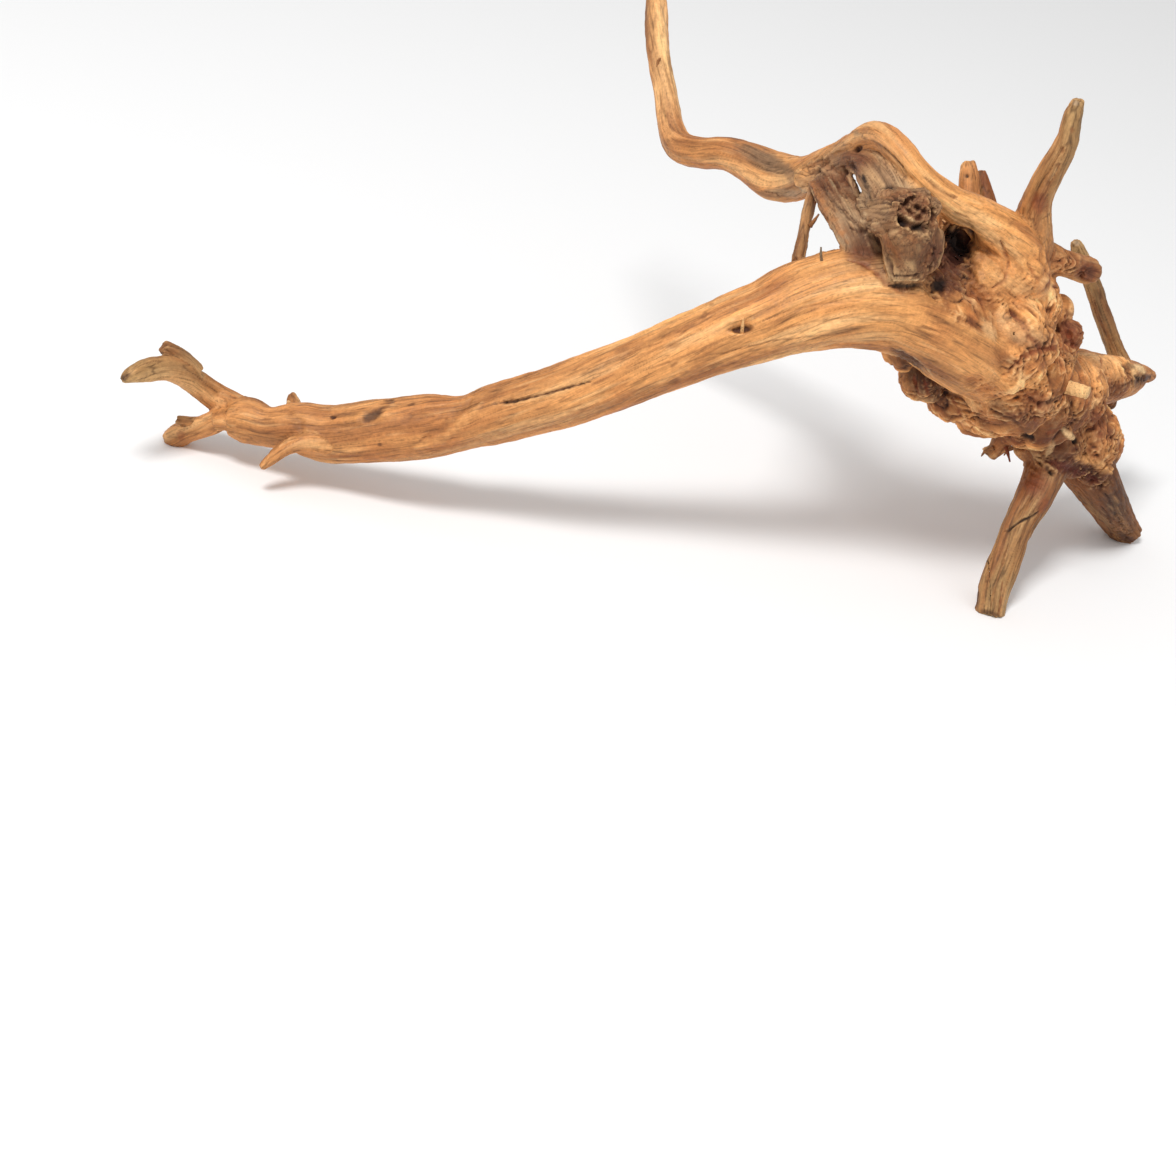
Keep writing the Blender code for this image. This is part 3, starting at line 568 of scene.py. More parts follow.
# Lines: eye, half width, raised, colour, strength, points
LINES = [("A", 1.8, -2, BLACK, 0.85, [(1112, 510), (1122, 525), (1131, 541)]),
         ("A", 1.6, -1.6, DARK, 0.8, [(1098, 503), (1108, 519), (1118, 536)]),
         # Painted shade: the next three lines darken the trunk's lower edge and the arm's right and lower edges
         ("A", 9, 0, tint(150, 90, 50), 0.5, [(330, 457), (420, 456), (500, 438), (600, 410), (700, 376), (790, 350), (870, 346)]),
         ("A", 3.5, 0, BROWN, 0.55, [(668, 20), (671, 70), (679, 115), (692, 134)]),
         ("A", 4, 0, BROWN, 0.5, [(660, 130), (675, 154), (700, 166), (740, 172)]),
         ("A", 2.2, -3, BLACK, 0.9, [(1120, 364), (1129, 372), (1138, 378), (1148, 382)]),
         ("A", 1.8, -2, DARK, 0.9, [(1122, 386), (1132, 381), (1143, 382)]),
         ("A", 2.2, -1.6, tint(120, 62, 38), 0.8, [(1098, 352), (1104, 364), (1100, 378), (1106, 392)]),
         ("A", 1.5, -2.6, DARK, 0.95, [(491, 405), (503, 402), (515, 401), (530, 397), (548, 393), (565, 388), (592, 381)]),
         ("A", 2.2, -2, BLACK, 0.9, [(504, 402), (512, 401), (519, 400)]),
         ("A", 4.5, -1.8, BROWN, 0.45, [(471, 398), (462, 408), (450, 420), (438, 433), (420, 441)]),
         ("A", 4.5, 1.6, GOLD, 0.4, [(482, 402), (472, 414), (458, 427), (440, 440), (415, 448)]),
         ("A", 3, -1.4, BROWN, 0.5, [(268, 407), (285, 410), (300, 421), (302, 432), (290, 440)]),
         ("A", 3, 1.2, GOLD, 0.4, [(318, 434), (306, 431), (292, 437), (280, 446)]),
         ("A", 1.2, -0.8, BROWN, 0.7, [(600, 366), (615, 358), (640, 348), (664, 342)]),
         ("A", 1.2, -0.8, BROWN, 0.7, [(640, 372), (670, 362), (700, 350), (730, 336)]),
         ("A", 1.2, -0.8, BROWN, 0.7, [(690, 368), (730, 352), (775, 341), (820, 336), (850, 338)]),
         ("A", 1, -0.7, BROWN, 0.6, [(760, 322), (790, 310), (825, 303), (860, 301)]),
         ("A", 1, -0.7, BROWN, 0.6, [(770, 333), (810, 322), (850, 318), (890, 322)]),
         ("A", 2.4, -1.5, RED, 0.6, [(845, 258), (862, 262), (875, 272), (886, 284), (900, 290), (925, 288)]),
         ("A", 1.5, -2, DARK, 0.9, [(868, 141), (880, 147), (893, 158), (904, 170), (910, 185)]),
         ("A", 2.2, 0, BLACK, 0.95, [(861, 172), (866, 186), (873, 203)]),
         ("A", 1.5, 1.2, tint(190, 160, 122), 0.7, [(826, 172), (836, 188), (848, 206), (862, 222), (876, 231)]),
         ("A", 1.3, 1, tint(190, 160, 122), 0.6, [(834, 170), (845, 186), (855, 202), (867, 216), (878, 224)]),
         ("A", 1.3, 1, tint(190, 160, 122), 0.6, [(822, 182), (834, 202), (848, 220), (866, 236)]),
         ("A", 1.3, -1.3, DARK, 0.75, [(830, 171), (841, 188), (852, 205), (866, 220)]),
         ("A", 1.3, -1.3, DARK, 0.7, [(824, 176), (835, 196), (849, 214), (868, 231)]),
         ("A", 4, 0.8, tint(178, 116, 68), 0.7, [(803, 168), (812, 186), (823, 204), (836, 224), (848, 243)]),
         ("A", 2, -1.5, DARK, 0.7, [(812, 172), (824, 186), (836, 204), (850, 220), (866, 230)]),
         ("A", 3, -3, DARK, 0.9, [(850, 227), (862, 232), (876, 238), (883, 250), (889, 264), (893, 278)]),
         ("A", 1.4, 1.5, CREAM, 0.7, [(890, 281), (905, 281.5), (922, 279.5)]),
         ("A", 1.4, -2, DARK, 0.9, [(892, 276), (905, 277), (921, 274)]),
         ("A", 2, -2, BLACK, 0.85, [(889, 285.5), (908, 286), (925, 284)]),
         ("A", 2, -2, DARK, 0.8, [(926, 240), (936, 248), (934, 258), (926, 268)]),
         ("A", 1.6, 1.4, CREAM, 0.7, [(889, 349), (900, 353), (913, 359), (926, 369), (941, 387)]),
         ("A", 2, -2, RED, 0.8, [(914, 374), (916, 386), (920, 397)]),
         ("A", 2, -2, RED, 0.8, [(924, 379), (927, 391), (931, 402)]),
         ("A", 2.4, -2.5, DARK, 0.8, [(936, 384), (939, 396), (944, 408)]),
         ("A", 2, -2, RED, 0.7, [(952, 398), (957, 408), (962, 418)]),
         ("A", 3, -2.2, RED, 0.8, [(1010, 370), (1022, 358), (1037, 350), (1052, 349), (1068, 345)]),
         ("A", 3, -2.2, RED, 0.7, [(1010, 310), (1022, 322), (1030, 338), (1046, 350)]),
         ("A", 2.4, -2, RED, 0.8, [(1056, 318), (1066, 330), (1074, 345), (1082, 360)]),
         ("A", 2.4, -2, DARK, 0.7, [(1028, 396), (1036, 404), (1052, 402), (1066, 396)]),
         ("A", 3, -2, RED, 0.6, [(1034, 412), (1038, 426), (1048, 434), (1060, 428)]),
         ("A", 2.4, -2, DARK, 0.7, [(985, 405), (998, 414), (1012, 420), (1024, 430)]),
         ("A", 5, 3.5, GOLD, 0.7, [(1074, 456), (1086, 459), (1098, 464), (1112, 473)]),
         ("A", 5.5, -3, tint(98, 42, 28), 0.9, [(1046, 462), (1064, 468), (1082, 477), (1106, 488)]),
         ("A", 2.4, -2.5, BLACK, 0.85, [(1038, 462), (1052, 474), (1066, 484), (1080, 490)]),
         ("A", 1.3, -2.2, BLACK, 0.95, [(1000, 531), (1008, 530), (1016, 524), (1025, 519), (1034, 516), (1043, 509)]),
         ("A", 1.2, -1.2, BROWN, 0.7, [(1008, 545), (1002, 565), (994, 590), (990, 612)]),
         ("A", 1.2, -1.2, RED, 0.7, [(1003, 580), (1001, 598), (998, 616)]),
         ("A", 4, -1.5, DARK, 0.85, [(1080, 500), (1092, 512), (1102, 525), (1114, 538)]),
         ("A", 1.5, -1.5, DARK, 0.7, [(1104, 492), (1114, 508), (1126, 526)]),
         ("A", 1.3, -1.2, DARK, 0.6, [(765, 152), (780, 158), (796, 164)]),
         ("A", 1.3, -1.2, DARK, 0.6, [(748, 152), (765, 162), (785, 172)]),
         ("A", 1.8, -1.5, BROWN, 0.8, [(925, 178), (940, 190), (954, 198), (958, 197)]),
         ("A", 1.2, -1, BROWN, 0.6, [(935, 205), (955, 213), (972, 220)]),
         ("A", 2, -2, RED, 0.6, [(1000, 240), (1008, 262), (1006, 280), (992, 288)]),
         ("A", 2, -2, RED, 0.6, [(1028, 262), (1034, 276), (1048, 286), (1062, 288)]),
         ("B", 1.8, -3, BLACK, 0.95, [(486, 675), (489, 682), (491, 690)]),
         ("B", 1.8, -2.5, BLACK, 0.95, [(344, 762), (350, 758), (357, 753)]),
         ("B", 2.6, -4, BLACK, 0.95, [(331, 669), (336, 680), (348, 690)]),
         ("B", 1.6, 1.2, CREAM, 0.7, [(365, 612), (380, 601), (401, 588), (416, 583)]),
         ("B", 2, -2, DARK, 0.8, [(332, 664), (330, 640), (345, 620), (358, 610), (362, 600)]),
         ("B", 2.4, -1.5, BROWN, 0.6, [(318, 690), (325, 660), (335, 640)]),
         ("B", 1.3, -1.5, DARK, 0.7, [(404, 650), (420, 632), (438, 612), (455, 595)]),
         ("B", 1.3, -1.5, DARK, 0.6, [(412, 640), (428, 620), (444, 602)]),
         ("B", 1.5, -1.4, BROWN, 0.7, [(226, 905), (236, 888), (250, 872)]),
         ("B", 1.8, -2.5, BLACK, 0.9, [(219, 915), (224, 902), (230, 892)]),
         ("B", 1.6, -1.4, DARK, 0.8, [(385, 868), (405, 880), (424, 890)]),
         ("B", 1.2, -0.8, BROWN, 0.6, [(520, 780), (545, 812), (575, 845), (600, 872)]),
         ("B", 1.2, -0.8, BROWN, 0.6, [(500, 740), (530, 775), (560, 800)]),
         ("B", 1.2, -0.8, BROWN, 0.5, [(690, 935), (730, 985), (770, 1030)])]

# Splinters: eye, first and last half width, colour, points with how far toward that eye of the surface
SPLINTERS = [("A", 2.1, 1.1, tint(214, 164, 108), [(742, 333, -4), (742.5, 327, 1), (743.5, 319, 4)]),
             ("A", 7.2, 6.4, tint(238, 190, 130), [(1067, 387, -8), (1078, 390, 3), (1088, 393, 9)]),
             ("A", 1.6, 0.9, GREY * 0.5, [(822, 262, -4), (821, 255, 0), (821, 247, 2)]),
             ("A", 2.6, 0.9, BROWN, [(810, 226, -2), (814, 221, 2), (819, 214, 3)]),
             ("B", 2.2, 0.6, DARK, [(126, 837, -3), (141, 842, 2), (155, 850, 3)]),
             ("B", 2.6, 0.8, BROWN, [(299, 838, -4), (301, 848, 0), (298, 857, 0)]),
             ("B", 2.6, 0.8, BROWN, [(322, 838, -4), (324, 846, 0), (321, 855, 0)]),
             ("B", 2.2, 0.8, BROWN, [(165, 800, -4), (161, 795, 0), (158, 791, 0)]),
             ("A", 2.4, 0.8, RED, [(1006, 447, -2), (1008, 454, 0), (1010, 462, 0)])]


def seen_by(eye, points):
    """Where the picture's figure A or B shows the points, and how near they are to that eye."""
    if eye == "A":
        scale = VIEW_DISTANCE / (VIEW_DISTANCE - points[:, 2])
        return np.c_[CENTRE + points[:, 0] * scale, CENTRE - points[:, 1] * scale], points[:, 2]
    turned = (points - [52, 278, 0]) @ EYE_B_TURN.T + EYE_B_SHIFT
    scale = EYE_B_SCALE * EYE_B_DISTANCE / (EYE_B_DISTANCE - turned[:, 2])
    return np.c_[EYE_B_CENTRE[0] + turned[:, 0] * scale, EYE_B_CENTRE[1] - turned[:, 1] * scale], turned[:, 2]


def from_eye(eye, across, down, near):
    """The point of space that the figure shows there, at that nearness."""
    if eye == "A":
        return place(across, down, near)
    scale = EYE_B_SCALE * EYE_B_DISTANCE / (EYE_B_DISTANCE - near)
    turned = np.array([(across - EYE_B_CENTRE[0]) / scale, (EYE_B_CENTRE[1] - down) / scale, near])
    return EYE_B_TURN.T @ (turned - EYE_B_SHIFT) + [52, 278, 0]


class Marks:
    """Puts patches and lines of the two figures on the surface."""

    def __init__(self, points, normals):
        self.points = points
        self.views = {}
        self.facing = {}
        for eye in "AB":
            self.views[eye] = seen_by(eye, points)
            toward = np.array([0, 0, 1.0]) if eye == "A" else EYE_B_TURN[2]
            least = 0.0 if eye == "A" else 0.15
            self.facing[eye] = step_up(normals @ toward, least, least + 0.4)
            if eye == "B":
                self.facing[eye] *= 1 - 0.85 * step_up(normals[:, 2], 0.35, 0.75)
        self.wobble = waves(points / 4, 77) * 0.35 + waves(points / 9, 78) * 0.3
        self.breaks = waves(points / 7, 79)

    def near(self, eye, across, down):
        """How near the surface is to that eye at a place of the figure."""
        seen, near = self.views[eye]
        away = np.hypot(seen[:, 0] - across, seen[:, 1] - down)
        reach = 2.0
        while not (away < reach).any():
            reach *= 1.6
        return near[away < reach].max()

    def patch(self, eye, across, down, long, wide, turn, blur=0.0, hole=False):
        """1 in the middle of a patch to 0 outside it."""
        seen, near = self.views[eye]
        reach = max(long, wide) * 1.6 + 2
        rows = np.nonzero((abs(seen[:, 0] - across) < reach) & (abs(seen[:, 1] - down) < reach))[0]
        front = near[rows] > self.near(eye, across, down) - 1.2 * max(long, wide) - 14
        facing = np.maximum(self.facing[eye][rows], float(hole))
        rows, facing = rows[front & (facing > 0)], facing[front & (facing > 0)]
        x, y = seen[rows, 0] - across, down - seen[rows, 1]
        angle = math.radians(turn)
        along = (x * math.cos(angle) + y * math.sin(angle)) / long
        over = (y * math.cos(angle) - x * math.sin(angle)) / wide
        away = np.hypot(along, over) + self.wobble[rows] * min(0.45, 1.6 / min(long, wide) + 0.2)
        return rows, (1 - step_up(away, 0.45 - 0.4 * blur, 1.2 + 0.2 * blur)) * facing

    def line(self, eye, half, points):
        """1 on a line to 0 outside it, thinner at both ends."""
        space = np.array([from_eye(eye, x, y, self.near(eye, x, y)) for x, y in points])
        low, high = space.min(0) - 4 * half - 3, space.max(0) + 4 * half + 3
        rows = np.nonzero(((self.points > low) & (self.points < high)).all(1))[0]
        spots = self.points[rows]
        away = np.full(len(rows), 1e9)
        run = np.zeros(len(rows))
        for i, (a, b) in enumerate(zip(space, space[1:])):
            share = np.clip((spots - a) @ (b - a) / ((b - a) @ (b - a)), 0, 1)
            gap = np.linalg.norm(spots - a - share[:, None] * (b - a), axis=1)
            closer = gap < away
            away[closer] = gap[closer]
            run[closer] = (i + share[closer]) / (len(space) - 1)
        width = half * (0.35 + 0.65 * step_up(np.minimum(run, 1 - run), 0, 0.2))
        away = away / width + self.wobble[rows] * 1.1
        broken = 0.6 + 0.4 * step_up(self.breaks[rows], -0.5, 0.2)
        return rows, (1 - step_up(away, 0.25, 1.6)) * self.facing[eye][rows] * broken


def mix(colours, other, share):
    return colours + (other - colours) * np.asarray(share)[:, None]


def rough_places(points, normals, burl):
    """The burl's share with the knobby patches, and 1 where the surface is calm to 0 elsewhere."""
    marks = Marks(points, normals)
    for eye, across, down, long, wide, turn, much in KNOBBY:
        rows, share = marks.patch(eye, across, down, long, wide, turn)
        burl[rows] = np.maximum(burl[rows], share * much)
    calm = np.zeros(len(points))
    for eye, across, down, long, wide, turn, much in CALM:
        rows, share = marks.patch(eye, across, down, long, wide, turn, 0.5)
        calm[rows] = np.maximum(calm[rows], share * much)
    return burl, calm


def dress(surface, limbs, crease, calm):
    """Fine relief and colours. Returns the colours, and roughness with two other shares."""
    points = surface.points
    normals = surface.normals()
    burl = limbs.burl
    marks = Marks(points, normals)
    steps = [limbs.station[n] / (len(rows) - 1) for n, rows in enumerate(limbs.rows)]
    worn = sum(w * (look[2] + (look[3] - look[2]) * s) for w, look, s in zip(limbs.weight, LOOKS, steps))
    tone = sum(w[:, None] * (look[0] + (look[1] - look[0]) * s[:, None])
               for w, look, s in zip(limbs.weight, LOOKS, steps))
    worn = worn * (1 - burl)
    for eye, across, down, long, wide, turn, much in WORN:
        rows, share = marks.patch(eye, across, down, long, wide, turn)
        worn[rows] = np.maximum(worn[rows], share * much)
        tone[rows] = mix(tone[rows], GREY, share * much)
    grain = limbs.along
    broad = waves(grain / [8, 8, 110], 1)
    strand = waves(grain / [4.6, 4.6, 48], 2)
    hair = waves(grain / [3.3, 3.3, 26], 3)
    furrow = np.abs(waves(grain / [6, 6, 70], 4))
    swirl = points + 7 * np.c_[waves(points / 26, 5), waves(points / 26, 6), waves(points / 26, 7)]
    flow = swirl @ FLOW.T
    crumple = layered(flow / [26, 19, 38], 2, 8)
    wrinkle = 0.7 - 2.2 * np.abs(waves(flow / [8, 6, 22], 15) + 0.3 * waves(flow / [3, 3, 7], 18))
    crumb = waves(flow / [4.2, 4.2, 11], 9)
    rugged = step_up(waves(points / 34, 16) + 0.4 * waves(points / 12, 17), -0.5, 0.25)
    pit = 0.45 + 0.6 * layered(points / 5.5, 2, 12)
    grit = waves(points / 3.4, 10)
    burl = burl * (1 - calm)
    worn = worn * (1 - 0.7 * calm)
    crease = crease * (1 - 0.6 * calm)
    limb = 1 - burl
    uneven = waves(grain / [15, 15, 46], 36) + 0.5 * waves(points / 11, 37)
    height = limb * (0.4 * strand + 0.15 * hair + 0.6 * broad + 0.9 * uneven - 0.5 * step_up(0.16 - furrow, 0, 0.16))
    height += worn * (1.5 * (furrow - 0.3) + 0.8 * strand + 0.5 * hair + 0.25 * grit)
    height += burl * (2.4 * crumple + rugged * (1.8 * wrinkle + 1.5 * crumb + 0.45 * grit) + 0.2 * grit)
    height -= 1.6 * crease
    crumbly = np.zeros(len(points))
    for eye, across, down, long, wide, turn, much in CRUMBLY:
        rows, share = marks.patch(eye, across, down, long, wide, turn)
        crumbly[rows] = np.maximum(crumbly[rows], share * much)
    height -= crumbly * 4.0 * step_up(0.42 - pit, 0, 0.4)
    height += crumbly * 1.2 * crumb
    stains_and_painted_shade = []
    for eye, across, down, long, wide, turn, raised, colour, strength in PATCHES:
        rows, share = marks.patch(eye, across, down, long, wide, turn, hole=raised <= -2.5 and eye == "A")
        height[rows] += raised * share * (1 + 0.5 * grit[rows])
        stains_and_painted_shade.append((rows, share * strength, colour))
    for eye, half, raised, colour, strength, line in LINES:
        rows, share = marks.line(eye, half, line)
        height[rows] += raised * share
        stains_and_painted_shade.append((rows, share * strength, colour))
    surface.points = points + normals * height[:, None]
    normals = surface.normals()
    soft = surface.spread(surface.points, 3)
    fold_fine = ((soft - surface.points) * normals).sum(1)
    soft = surface.spread(soft, 20)
    fold = ((soft - surface.points) * normals).sum(1)
    soft = surface.spread(soft, 40)
    hollow = ((soft - surface.points) * normals).sum(1)
    patchy = layered(points / 60, 2, 20)
    tone = mix(tone, ORANGE, limb * 0.55 * step_up(patchy, 0.0, 0.9) * (1 - worn))
    tone = mix(tone, GOLD, limb * 0.4 * step_up(-patchy, 0.1, 0.9) * (1 - worn))
    knob = mix(np.tile(GOLD, (len(points), 1)), ORANGE, step_up(layered(points / 24, 2, 24), -0.6, 0.8))
    tone = mix(tone, knob, burl * 0.9)
    ruddy = step_up(layered(points / 27, 2, 26), -0.1, 0.7)
    tone = mix(tone, tint(158, 92, 52), burl * 0.6 * ruddy)
    # Painted shade and painted highlight: the burl is redder and darker in the low places of its relief and in its
    # creases, and paler on its tops
    tone = mix(tone, RED, burl * 0.7 * step_up(-crumple, 0.1, 0.9))
    tone = mix(tone, tint(104, 50, 30), crease * 0.7)
    tone = mix(tone, BROWN, burl * (0.25 + 0.45 * rugged) * step_up(-wrinkle, 0.1, 0.8))
    tone = mix(tone, RED, burl * rugged * 0.5 * step_up(-crumb - 0.5 * wrinkle, 0.3, 0.9))
    tone = mix(tone, CREAM, burl * 0.6 * step_up(crumple + 0.5 * wrinkle, 0.2, 0.9) * (1 - 0.6 * ruddy))
    # Broad patches: the wood's own colours, painted shade where the light doesn't reach, and painted light on lit sides
    for eye, across, down, long, wide, turn, colour, strength in TONES_AND_PAINTED_LIGHT:
        rows, share = marks.patch(eye, across, down, long, wide, turn, 1.0)
        tone[rows] = mix(tone[rows], colour, share * strength)
    tone = mix(tone, BROWN, crumbly * 0.6)
    tone = mix(tone, DARK, crumbly * 0.9 * step_up(0.42 - pit, 0, 0.35))
    tone = mix(tone, TAN, crumbly * 0.5 * step_up(pit, 0.7, 1.1))
    tone = mix(tone, BROWN, limb * (0.3 + 0.35 * step_up(patchy, -0.3, 0.5)) * step_up(strand, 0.1, 0.85))
    tone = mix(tone, BROWN, limb * (0.2 + 0.3 * worn) * step_up(hair, 0.2, 0.85))
    streak = waves(grain / [3.6, 3.6, 30], 32) + 0.5 * waves(grain / [24, 24, 50], 33)
    tone = mix(tone, tint(116, 68, 38), limb * 0.55 * step_up(streak, 0.6, 0.95))
    blotch = layered(grain / [19, 19, 55], 2, 38)
    tone = mix(tone, tint(172, 106, 56), limb * (1 - worn) * 0.42 * step_up(blotch, 0.15, 0.8))
    band = waves(grain / [16, 16, 170], 34) + 0.35 * waves(grain / [6, 6, 60], 35)
    tone = mix(tone, CREAM, limb * (1 - worn) * 0.45 * step_up(band, 0.05, 0.7))
    tone = mix(tone, tint(158, 96, 54), limb * 0.5 * step_up(-band, 0.05, 0.7))
    tone = mix(tone, DARK, limb * (0.25 + 0.4 * worn) * step_up(0.1 - furrow, 0, 0.1))
    tone = mix(tone, CREAM, limb * 0.3 * step_up(-strand, 0.25, 0.9))
    tone = tone * (1 + 0.2 * broad + 0.07 * grit)[:, None]
    speck = waves(grain / [4.2, 4.2, 13], 30) + 0.5 * waves(points / 33, 31)
    tone = mix(tone, DARK, limb * 0.65 * step_up(speck, 0.95, 1.2))
    # Painted shade: redder and darker in the folds and broad hollows of the surface; painted highlight: paler on its
    # ridges
    tone = mix(tone, RED, 0.75 * step_up(fold, 0.5, 2.4) * (0.55 + 0.45 * burl))
    tone = mix(tone, tint(110, 54, 32), 0.7 * step_up(hollow, 1.5, 7.0) * (0.4 + 0.6 * burl))
    tone = mix(tone, DARK, 0.85 * step_up(fold, 1.8, 4.5))
    tone = mix(tone, DARK, (0.4 + 0.4 * burl) * step_up(fold_fine - 0.12 * limb, 0.12, 0.6))
    tone = mix(tone, CREAM, 0.34 * step_up(-fold, 0.6, 3.0) + 0.18 * step_up(-fold_fine, 0.1, 0.5))
    light = tone @ [0.3, 0.55, 0.15]
    tone = tone * ((light / 0.34) ** (0.3 + 0.2 * burl))[:, None] * (1 - (1 - 0.6 * worn)[:, None] * [0, 0.06, 0.15])
    # Patches and lines laid last: stains, cracks and knots, and the painted shade of the dark edge bands and black
    # holes
    for rows, share, colour in stains_and_painted_shade:
        rim = colour * (1 + 0.25 * grit[rows] + 0.15 * strand[rows])[:, None]
        tone[rows] = tone[rows] + (rim - tone[rows]) * share[:, None]
    rough = np.clip(0.52 + 0.25 * worn + 0.15 * burl + 0.2 * step_up(fold, 0, 3), 0, 0.95)
    return np.clip(tone, 0.004, 0.95), np.c_[rough, worn, burl]


def inward(loop, mean):
    """1 or -1: the way along X in which a cap on this loop faces, out of the piece."""
    return math.copysign(1, loop[:, 0].mean() - mean[0])


def shown(name, points, faces, normals, values, material):
    """A closed piece of the surface: its own faces, and a cap inside the wood where it meets another."""
    used = np.unique(faces)
    new = np.full(len(points), -1)
    new[used] = np.arange(len(used))
    faces = new[faces]
    places = points[used]
    mean = places.mean(0)
    ends = np.vstack([faces[:, [i, (i + 1) % 4]] for i in range(4)])
    there = ends[:, 0].astype(np.int64) * len(places) + ends[:, 1]
    back = ends[:, 1].astype(np.int64) * len(places) + ends[:, 0]
    after = {}
    for a, b in ends[~np.isin(there, back)].tolist():
        after.setdefault(b, []).append(a)
    polygons = faces.tolist()
    corner_normals = [normals[used][faces.ravel()]]
    loops = []
    while after:
        loop = [next(iter(after))]
        while True:
            ways = after[loop[-1]]
            step = ways.pop()
            if not ways:
                del after[loop[-1]]
            if step == loop[0]:
                break
            loop.append(step)
        loops.append(loop)
    for loop in loops:
        corners = tessellate_polygon([[Vector(places[i]) for i in loop]])
        for three in corners:
            a, b, c = (loop[i] for i in three)
            flat = np.cross(places[b] - places[a], places[c] - places[a])
            if flat[0] * inward(places[loop], mean) < 0:
                a, c = c, a
                flat = -flat
            polygons.append((a, b, c))
            corner_normals.append(np.tile(flat, (3, 1)))
    mesh = bpy.data.meshes.new(name)
    mesh.from_pydata(places.tolist(), [], polygons)
    mesh.polygons.foreach_set("use_smooth", np.ones(len(polygons), bool))
    mesh.normals_split_custom_set(np.vstack(corner_normals).tolist())
    for key, rows in values.items():
        kind = "FLOAT_COLOR" if key == "tone" else "FLOAT_VECTOR"
        width = 4 if key == "tone" else 3
        data = np.zeros((len(places), width))
        data[:len(used), :rows.shape[1]] = rows[used]
        if width == 4:
            data[:, 3] = 1
        layer = mesh.attributes.new(key, kind, "POINT")
        layer.data.foreach_set("color" if width == 4 else "vector", data.ravel())
    mesh.materials.append(material)
    obj = bpy.data.objects.new(name, mesh)
    bpy.context.scene.collection.objects.link(obj)
    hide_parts("driftwood")
    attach(obj, "root")
    print(name, "triangles", sum(len(p) - 2 for p in polygons))
    return obj


def look_from_front():
    """The camera of the upper figure."""
    lens = bpy.data.cameras.new("camera")
    camera = bpy.data.objects.new("camera", lens)
    bpy.context.scene.collection.objects.link(camera)
    eye = to_world(np.array([[0.0, 0.0, VIEW_DISTANCE]]))[0]
    matrix = Matrix.Identity(4)
    for i in range(3):
        for j in range(3):
            matrix[i][j] = AXES[i, j]
        matrix[i][3] = eye[i]
    camera.matrix_world = matrix
    lens.sensor_width = 36
    lens.lens = 36 * VIEW_DISTANCE / (2 * CENTRE)
    lens.clip_start = 0.01
    bpy.context.scene.camera = camera
    return camera


def lamp(name, where, size, power, toward=(0.0, 0.0, 0.1)):
    """A square soft light that faces a point."""
    data = bpy.data.lights.new(name, "AREA")
    data.size = size
    data.energy = power
    obj = bpy.data.objects.new(name, data)
    bpy.context.scene.collection.objects.link(obj)
    obj.location = where
    obj.rotation_euler = (Vector(where) - Vector(toward)).to_track_quat("Z", "Y").to_euler()


def wood():
    """The wood's material: the surface's colours with fine grain, pores and uneven gloss."""
    material = bpy.data.materials.new("driftwood")
    material.use_nodes = True
    nodes = material.node_tree.nodes
    links = material.node_tree.links
    surface = nodes["Principled BSDF"]

    def attribute(name):
        node = nodes.new("ShaderNodeAttribute")
        node.attribute_name = name
        return node

    def stretched(source, scale):
        node = nodes.new("ShaderNodeVectorMath")
        node.operation = "MULTIPLY"
        node.inputs[1].default_value = scale
        links.new(source, node.inputs[0])
        return node.outputs[0]

    def pattern(source, scale, detail):
        node = nodes.new("ShaderNodeTexNoise")
        node.inputs["Scale"].default_value = scale
        node.inputs["Detail"].default_value = detail
        links.new(source, node.inputs["Vector"])
        return node.outputs["Fac"]

    def ranged(source, low, high, least, most):
        node = nodes.new("ShaderNodeMapRange")
        for i, value in enumerate((low, high, least, most)):
            node.inputs[i + 1].default_value = value
        links.new(source, node.inputs[0])
        return node.outputs[0]

    def maths(kind, one, two):
        node = nodes.new("ShaderNodeMath")
        node.operation = kind
        for i, value in enumerate((one, two)):
            if isinstance(value, (int, float)):
                node.inputs[i].default_value = value
            else:
                links.new(value, node.inputs[i])
        return node.outputs[0]

    tone = attribute("tone").outputs["Color"]
    shares = nodes.new("ShaderNodeSeparateXYZ")
    links.new(attribute("shares").outputs["Vector"], shares.inputs[0])
    rough, worn, burl = shares.outputs
    place_in = nodes.new("ShaderNodeTexCoord").outputs["Object"]
    grain = attribute("grain").outputs["Vector"]
    fibres = pattern(stretched(grain, (0.9, 0.9, 0.07)), 1.0, 4.0)
    pores = pattern(place_in, 1500.0, 3.0)
    crumbs = pattern(place_in, 620.0, 4.0)
    shade = maths("MULTIPLY", ranged(fibres, 0.3, 0.7, 0.84, 1.14), ranged(pores, 0.3, 0.7, 0.93, 1.06))
    shade = maths("MULTIPLY", shade, ranged(crumbs, 0.32, 0.68, 0.9, 1.08))
    dashes = ranged(pattern(stretched(grain, (0.5, 0.5, 0.03)), 1.0, 2.0), 0.57, 0.66, 0.0, 0.34)
    dashes = maths("MULTIPLY", dashes, maths("SUBTRACT", 1.0, burl))
    shade = maths("MULTIPLY", shade, maths("SUBTRACT", 1.0, dashes))
    mixed = nodes.new("ShaderNodeVectorMath")
    mixed.operation = "SCALE"
    links.new(tone, mixed.inputs[0])
    links.new(shade, mixed.inputs["Scale"])
    links.new(mixed.outputs[0], surface.inputs["Base Color"])
    links.new(maths("ADD", rough, ranged(crumbs, 0.3, 0.7, -0.08, 0.1)), surface.inputs["Roughness"])
    surface.inputs["Specular IOR Level"].default_value = 0.32
    heights = maths("ADD", maths("MULTIPLY", fibres, 0.6), maths("MULTIPLY", crumbs, 0.5))
    bump = nodes.new("ShaderNodeBump")
    bump.inputs["Strength"].default_value = 0.55
    bump.inputs["Distance"].default_value = 0.0006
    links.new(heights, bump.inputs["Height"])
    links.new(bump.outputs[0], surface.inputs["Normal"])
    return material


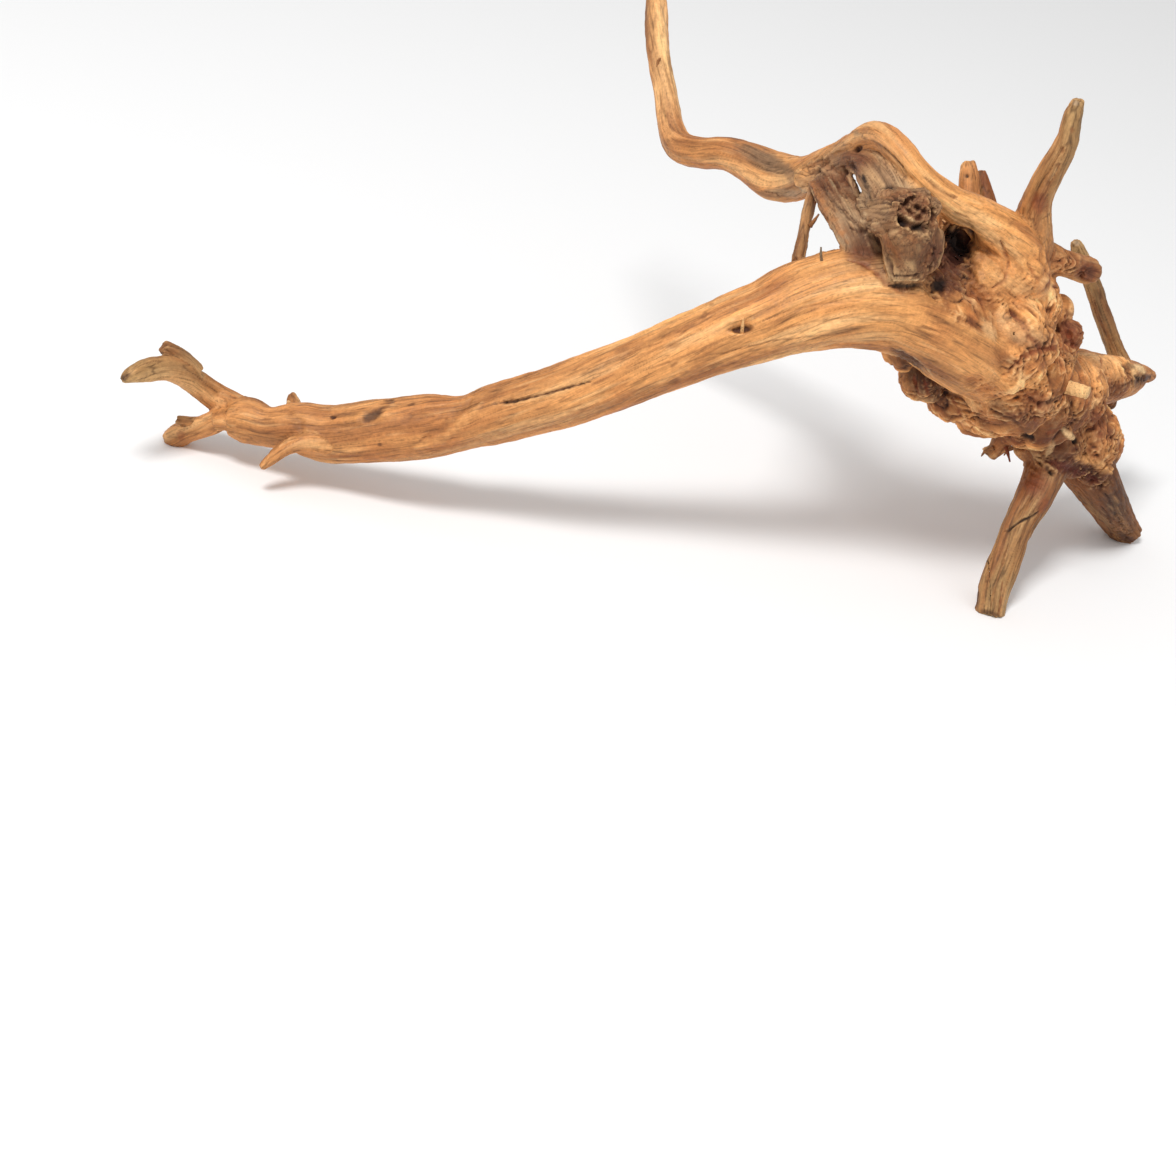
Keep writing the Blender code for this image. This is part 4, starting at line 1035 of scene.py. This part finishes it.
def splinters(surface, normals, material):
    """Thin points, broken twigs and loose fibres that stand off the surface."""
    marks = Marks(surface.points, normals)
    bm = bmesh.new()
    tones = []
    for eye, thick, thin, colour, spots in SPLINTERS:
        base = marks.near(eye, *spots[0][:2])
        centres = np.array([from_eye(eye, x, y, base + off) for x, y, off in spots])
        widths = np.linspace(thick, thin, len(spots))
        rows = smooth_row(np.c_[centres, widths, widths * 0.8], 1.2)
        rows[:, 3:] *= 1 + min(0.2, 0.25 / thick) * np.sin(np.arange(len(rows)) * 0.9 + thick)[:, None]
        before = len(bm.verts)
        tube(bm, rows, 10)
        bm.verts.ensure_lookup_table()
        tones += [colour] * (len(bm.verts) - before)
    mesh = bpy.data.meshes.new("splinters")
    bm.to_mesh(mesh)
    bm.free()
    places = np.array([v.co for v in mesh.vertices])
    streak = waves(places / 1.6, 50)
    tones = np.array(tones) * (1 + 0.3 * streak)[:, None]
    world = to_world(places)
    world[:, 2] = np.maximum(world[:, 2], 0)
    mesh.vertices.foreach_set("co", world.ravel())
    mesh.polygons.foreach_set("use_smooth", np.ones(len(mesh.polygons), bool))
    colour = mesh.attributes.new("tone", "FLOAT_COLOR", "POINT")
    colour.data.foreach_set("color", np.c_[np.clip(tones, 0.005, 1), np.ones(len(tones))].ravel())
    for key, rows in (("grain", places), ("shares", np.tile([0.7, 0.6, 0], (len(places), 1)))):
        layer = mesh.attributes.new(key, "FLOAT_VECTOR", "POINT")
        layer.data.foreach_set("vector", np.array(rows, float).ravel())
    mesh.materials.append(material)
    obj = bpy.data.objects.new("splinters", mesh)
    bpy.context.scene.collection.objects.link(obj)
    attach(obj, "root")


def studio():
    """Pale floor and soft light from the camera's upper left."""
    bm = bmesh.new()
    bmesh.ops.create_circle(bm, cap_ends=True, segments=96, radius=4.0)
    mesh = bpy.data.meshes.new("floor")
    bm.to_mesh(mesh)
    bm.free()
    floor = bpy.data.objects.new("floor", mesh)
    bpy.context.scene.collection.objects.link(floor)
    pale = bpy.data.materials.new("floor")
    pale.use_nodes = True
    pale.node_tree.nodes["Principled BSDF"].inputs["Base Color"].default_value = (0.9, 0.9, 0.9, 1)
    pale.node_tree.nodes["Principled BSDF"].inputs["Roughness"].default_value = 0.9
    mesh.materials.append(pale)
    world = bpy.data.worlds.new("studio")
    world.use_nodes = True
    world.node_tree.nodes["Background"].inputs["Color"].default_value = (1, 1, 1, 1)
    world.node_tree.nodes["Background"].inputs["Strength"].default_value = 0.6
    bpy.context.scene.world = world
    lamp("key", (-0.55, -0.9, 1.9), 0.55, 31)
    lamp("fill", (1.2, -1.2, 0.8), 1.2, 1.5)
    bpy.context.scene.view_settings.view_transform = "Standard"


def main():
    points, faces = fused()
    surface = Surface(points, faces)
    limbs = Limbs(points)
    soft = surface.spread(points, 36)
    share = step_up(limbs.weight[LIMBS.index(GREY_FLAP)], 0.05, 0.6) * 0.9
    surface.points = points + (soft - points) * share[:, None]
    normals = surface.normals()
    limbs.burl, calm = rough_places(surface.points, normals, limbs.burl)
    surface.points, crease = coarse_relief(surface.points, normals, limbs.burl, calm)
    tone, shares = dress(surface, limbs, crease, calm)
    material = wood()
    splinters(surface, surface.normals(), material)
    values = {"tone": tone, "grain": limbs.along, "shares": shares}
    middles = surface.points[faces].mean(1)[:, 0]
    world = to_world(surface.points)
    world[:, 2] = np.maximum(world[:, 2], 0)
    surface.points = world
    normals = surface.normals()
    cuts = np.quantile(middles, np.linspace(0, 1, PIECES + 1))
    cuts[-1] += 1
    for n, (low, high) in enumerate(zip(cuts, cuts[1:])):
        mine = (middles >= low) & (middles < high)
        shown("wood_%d" % (n + 1), world, faces[mine], normals, values, material)
    look_from_front()
    studio()


main()
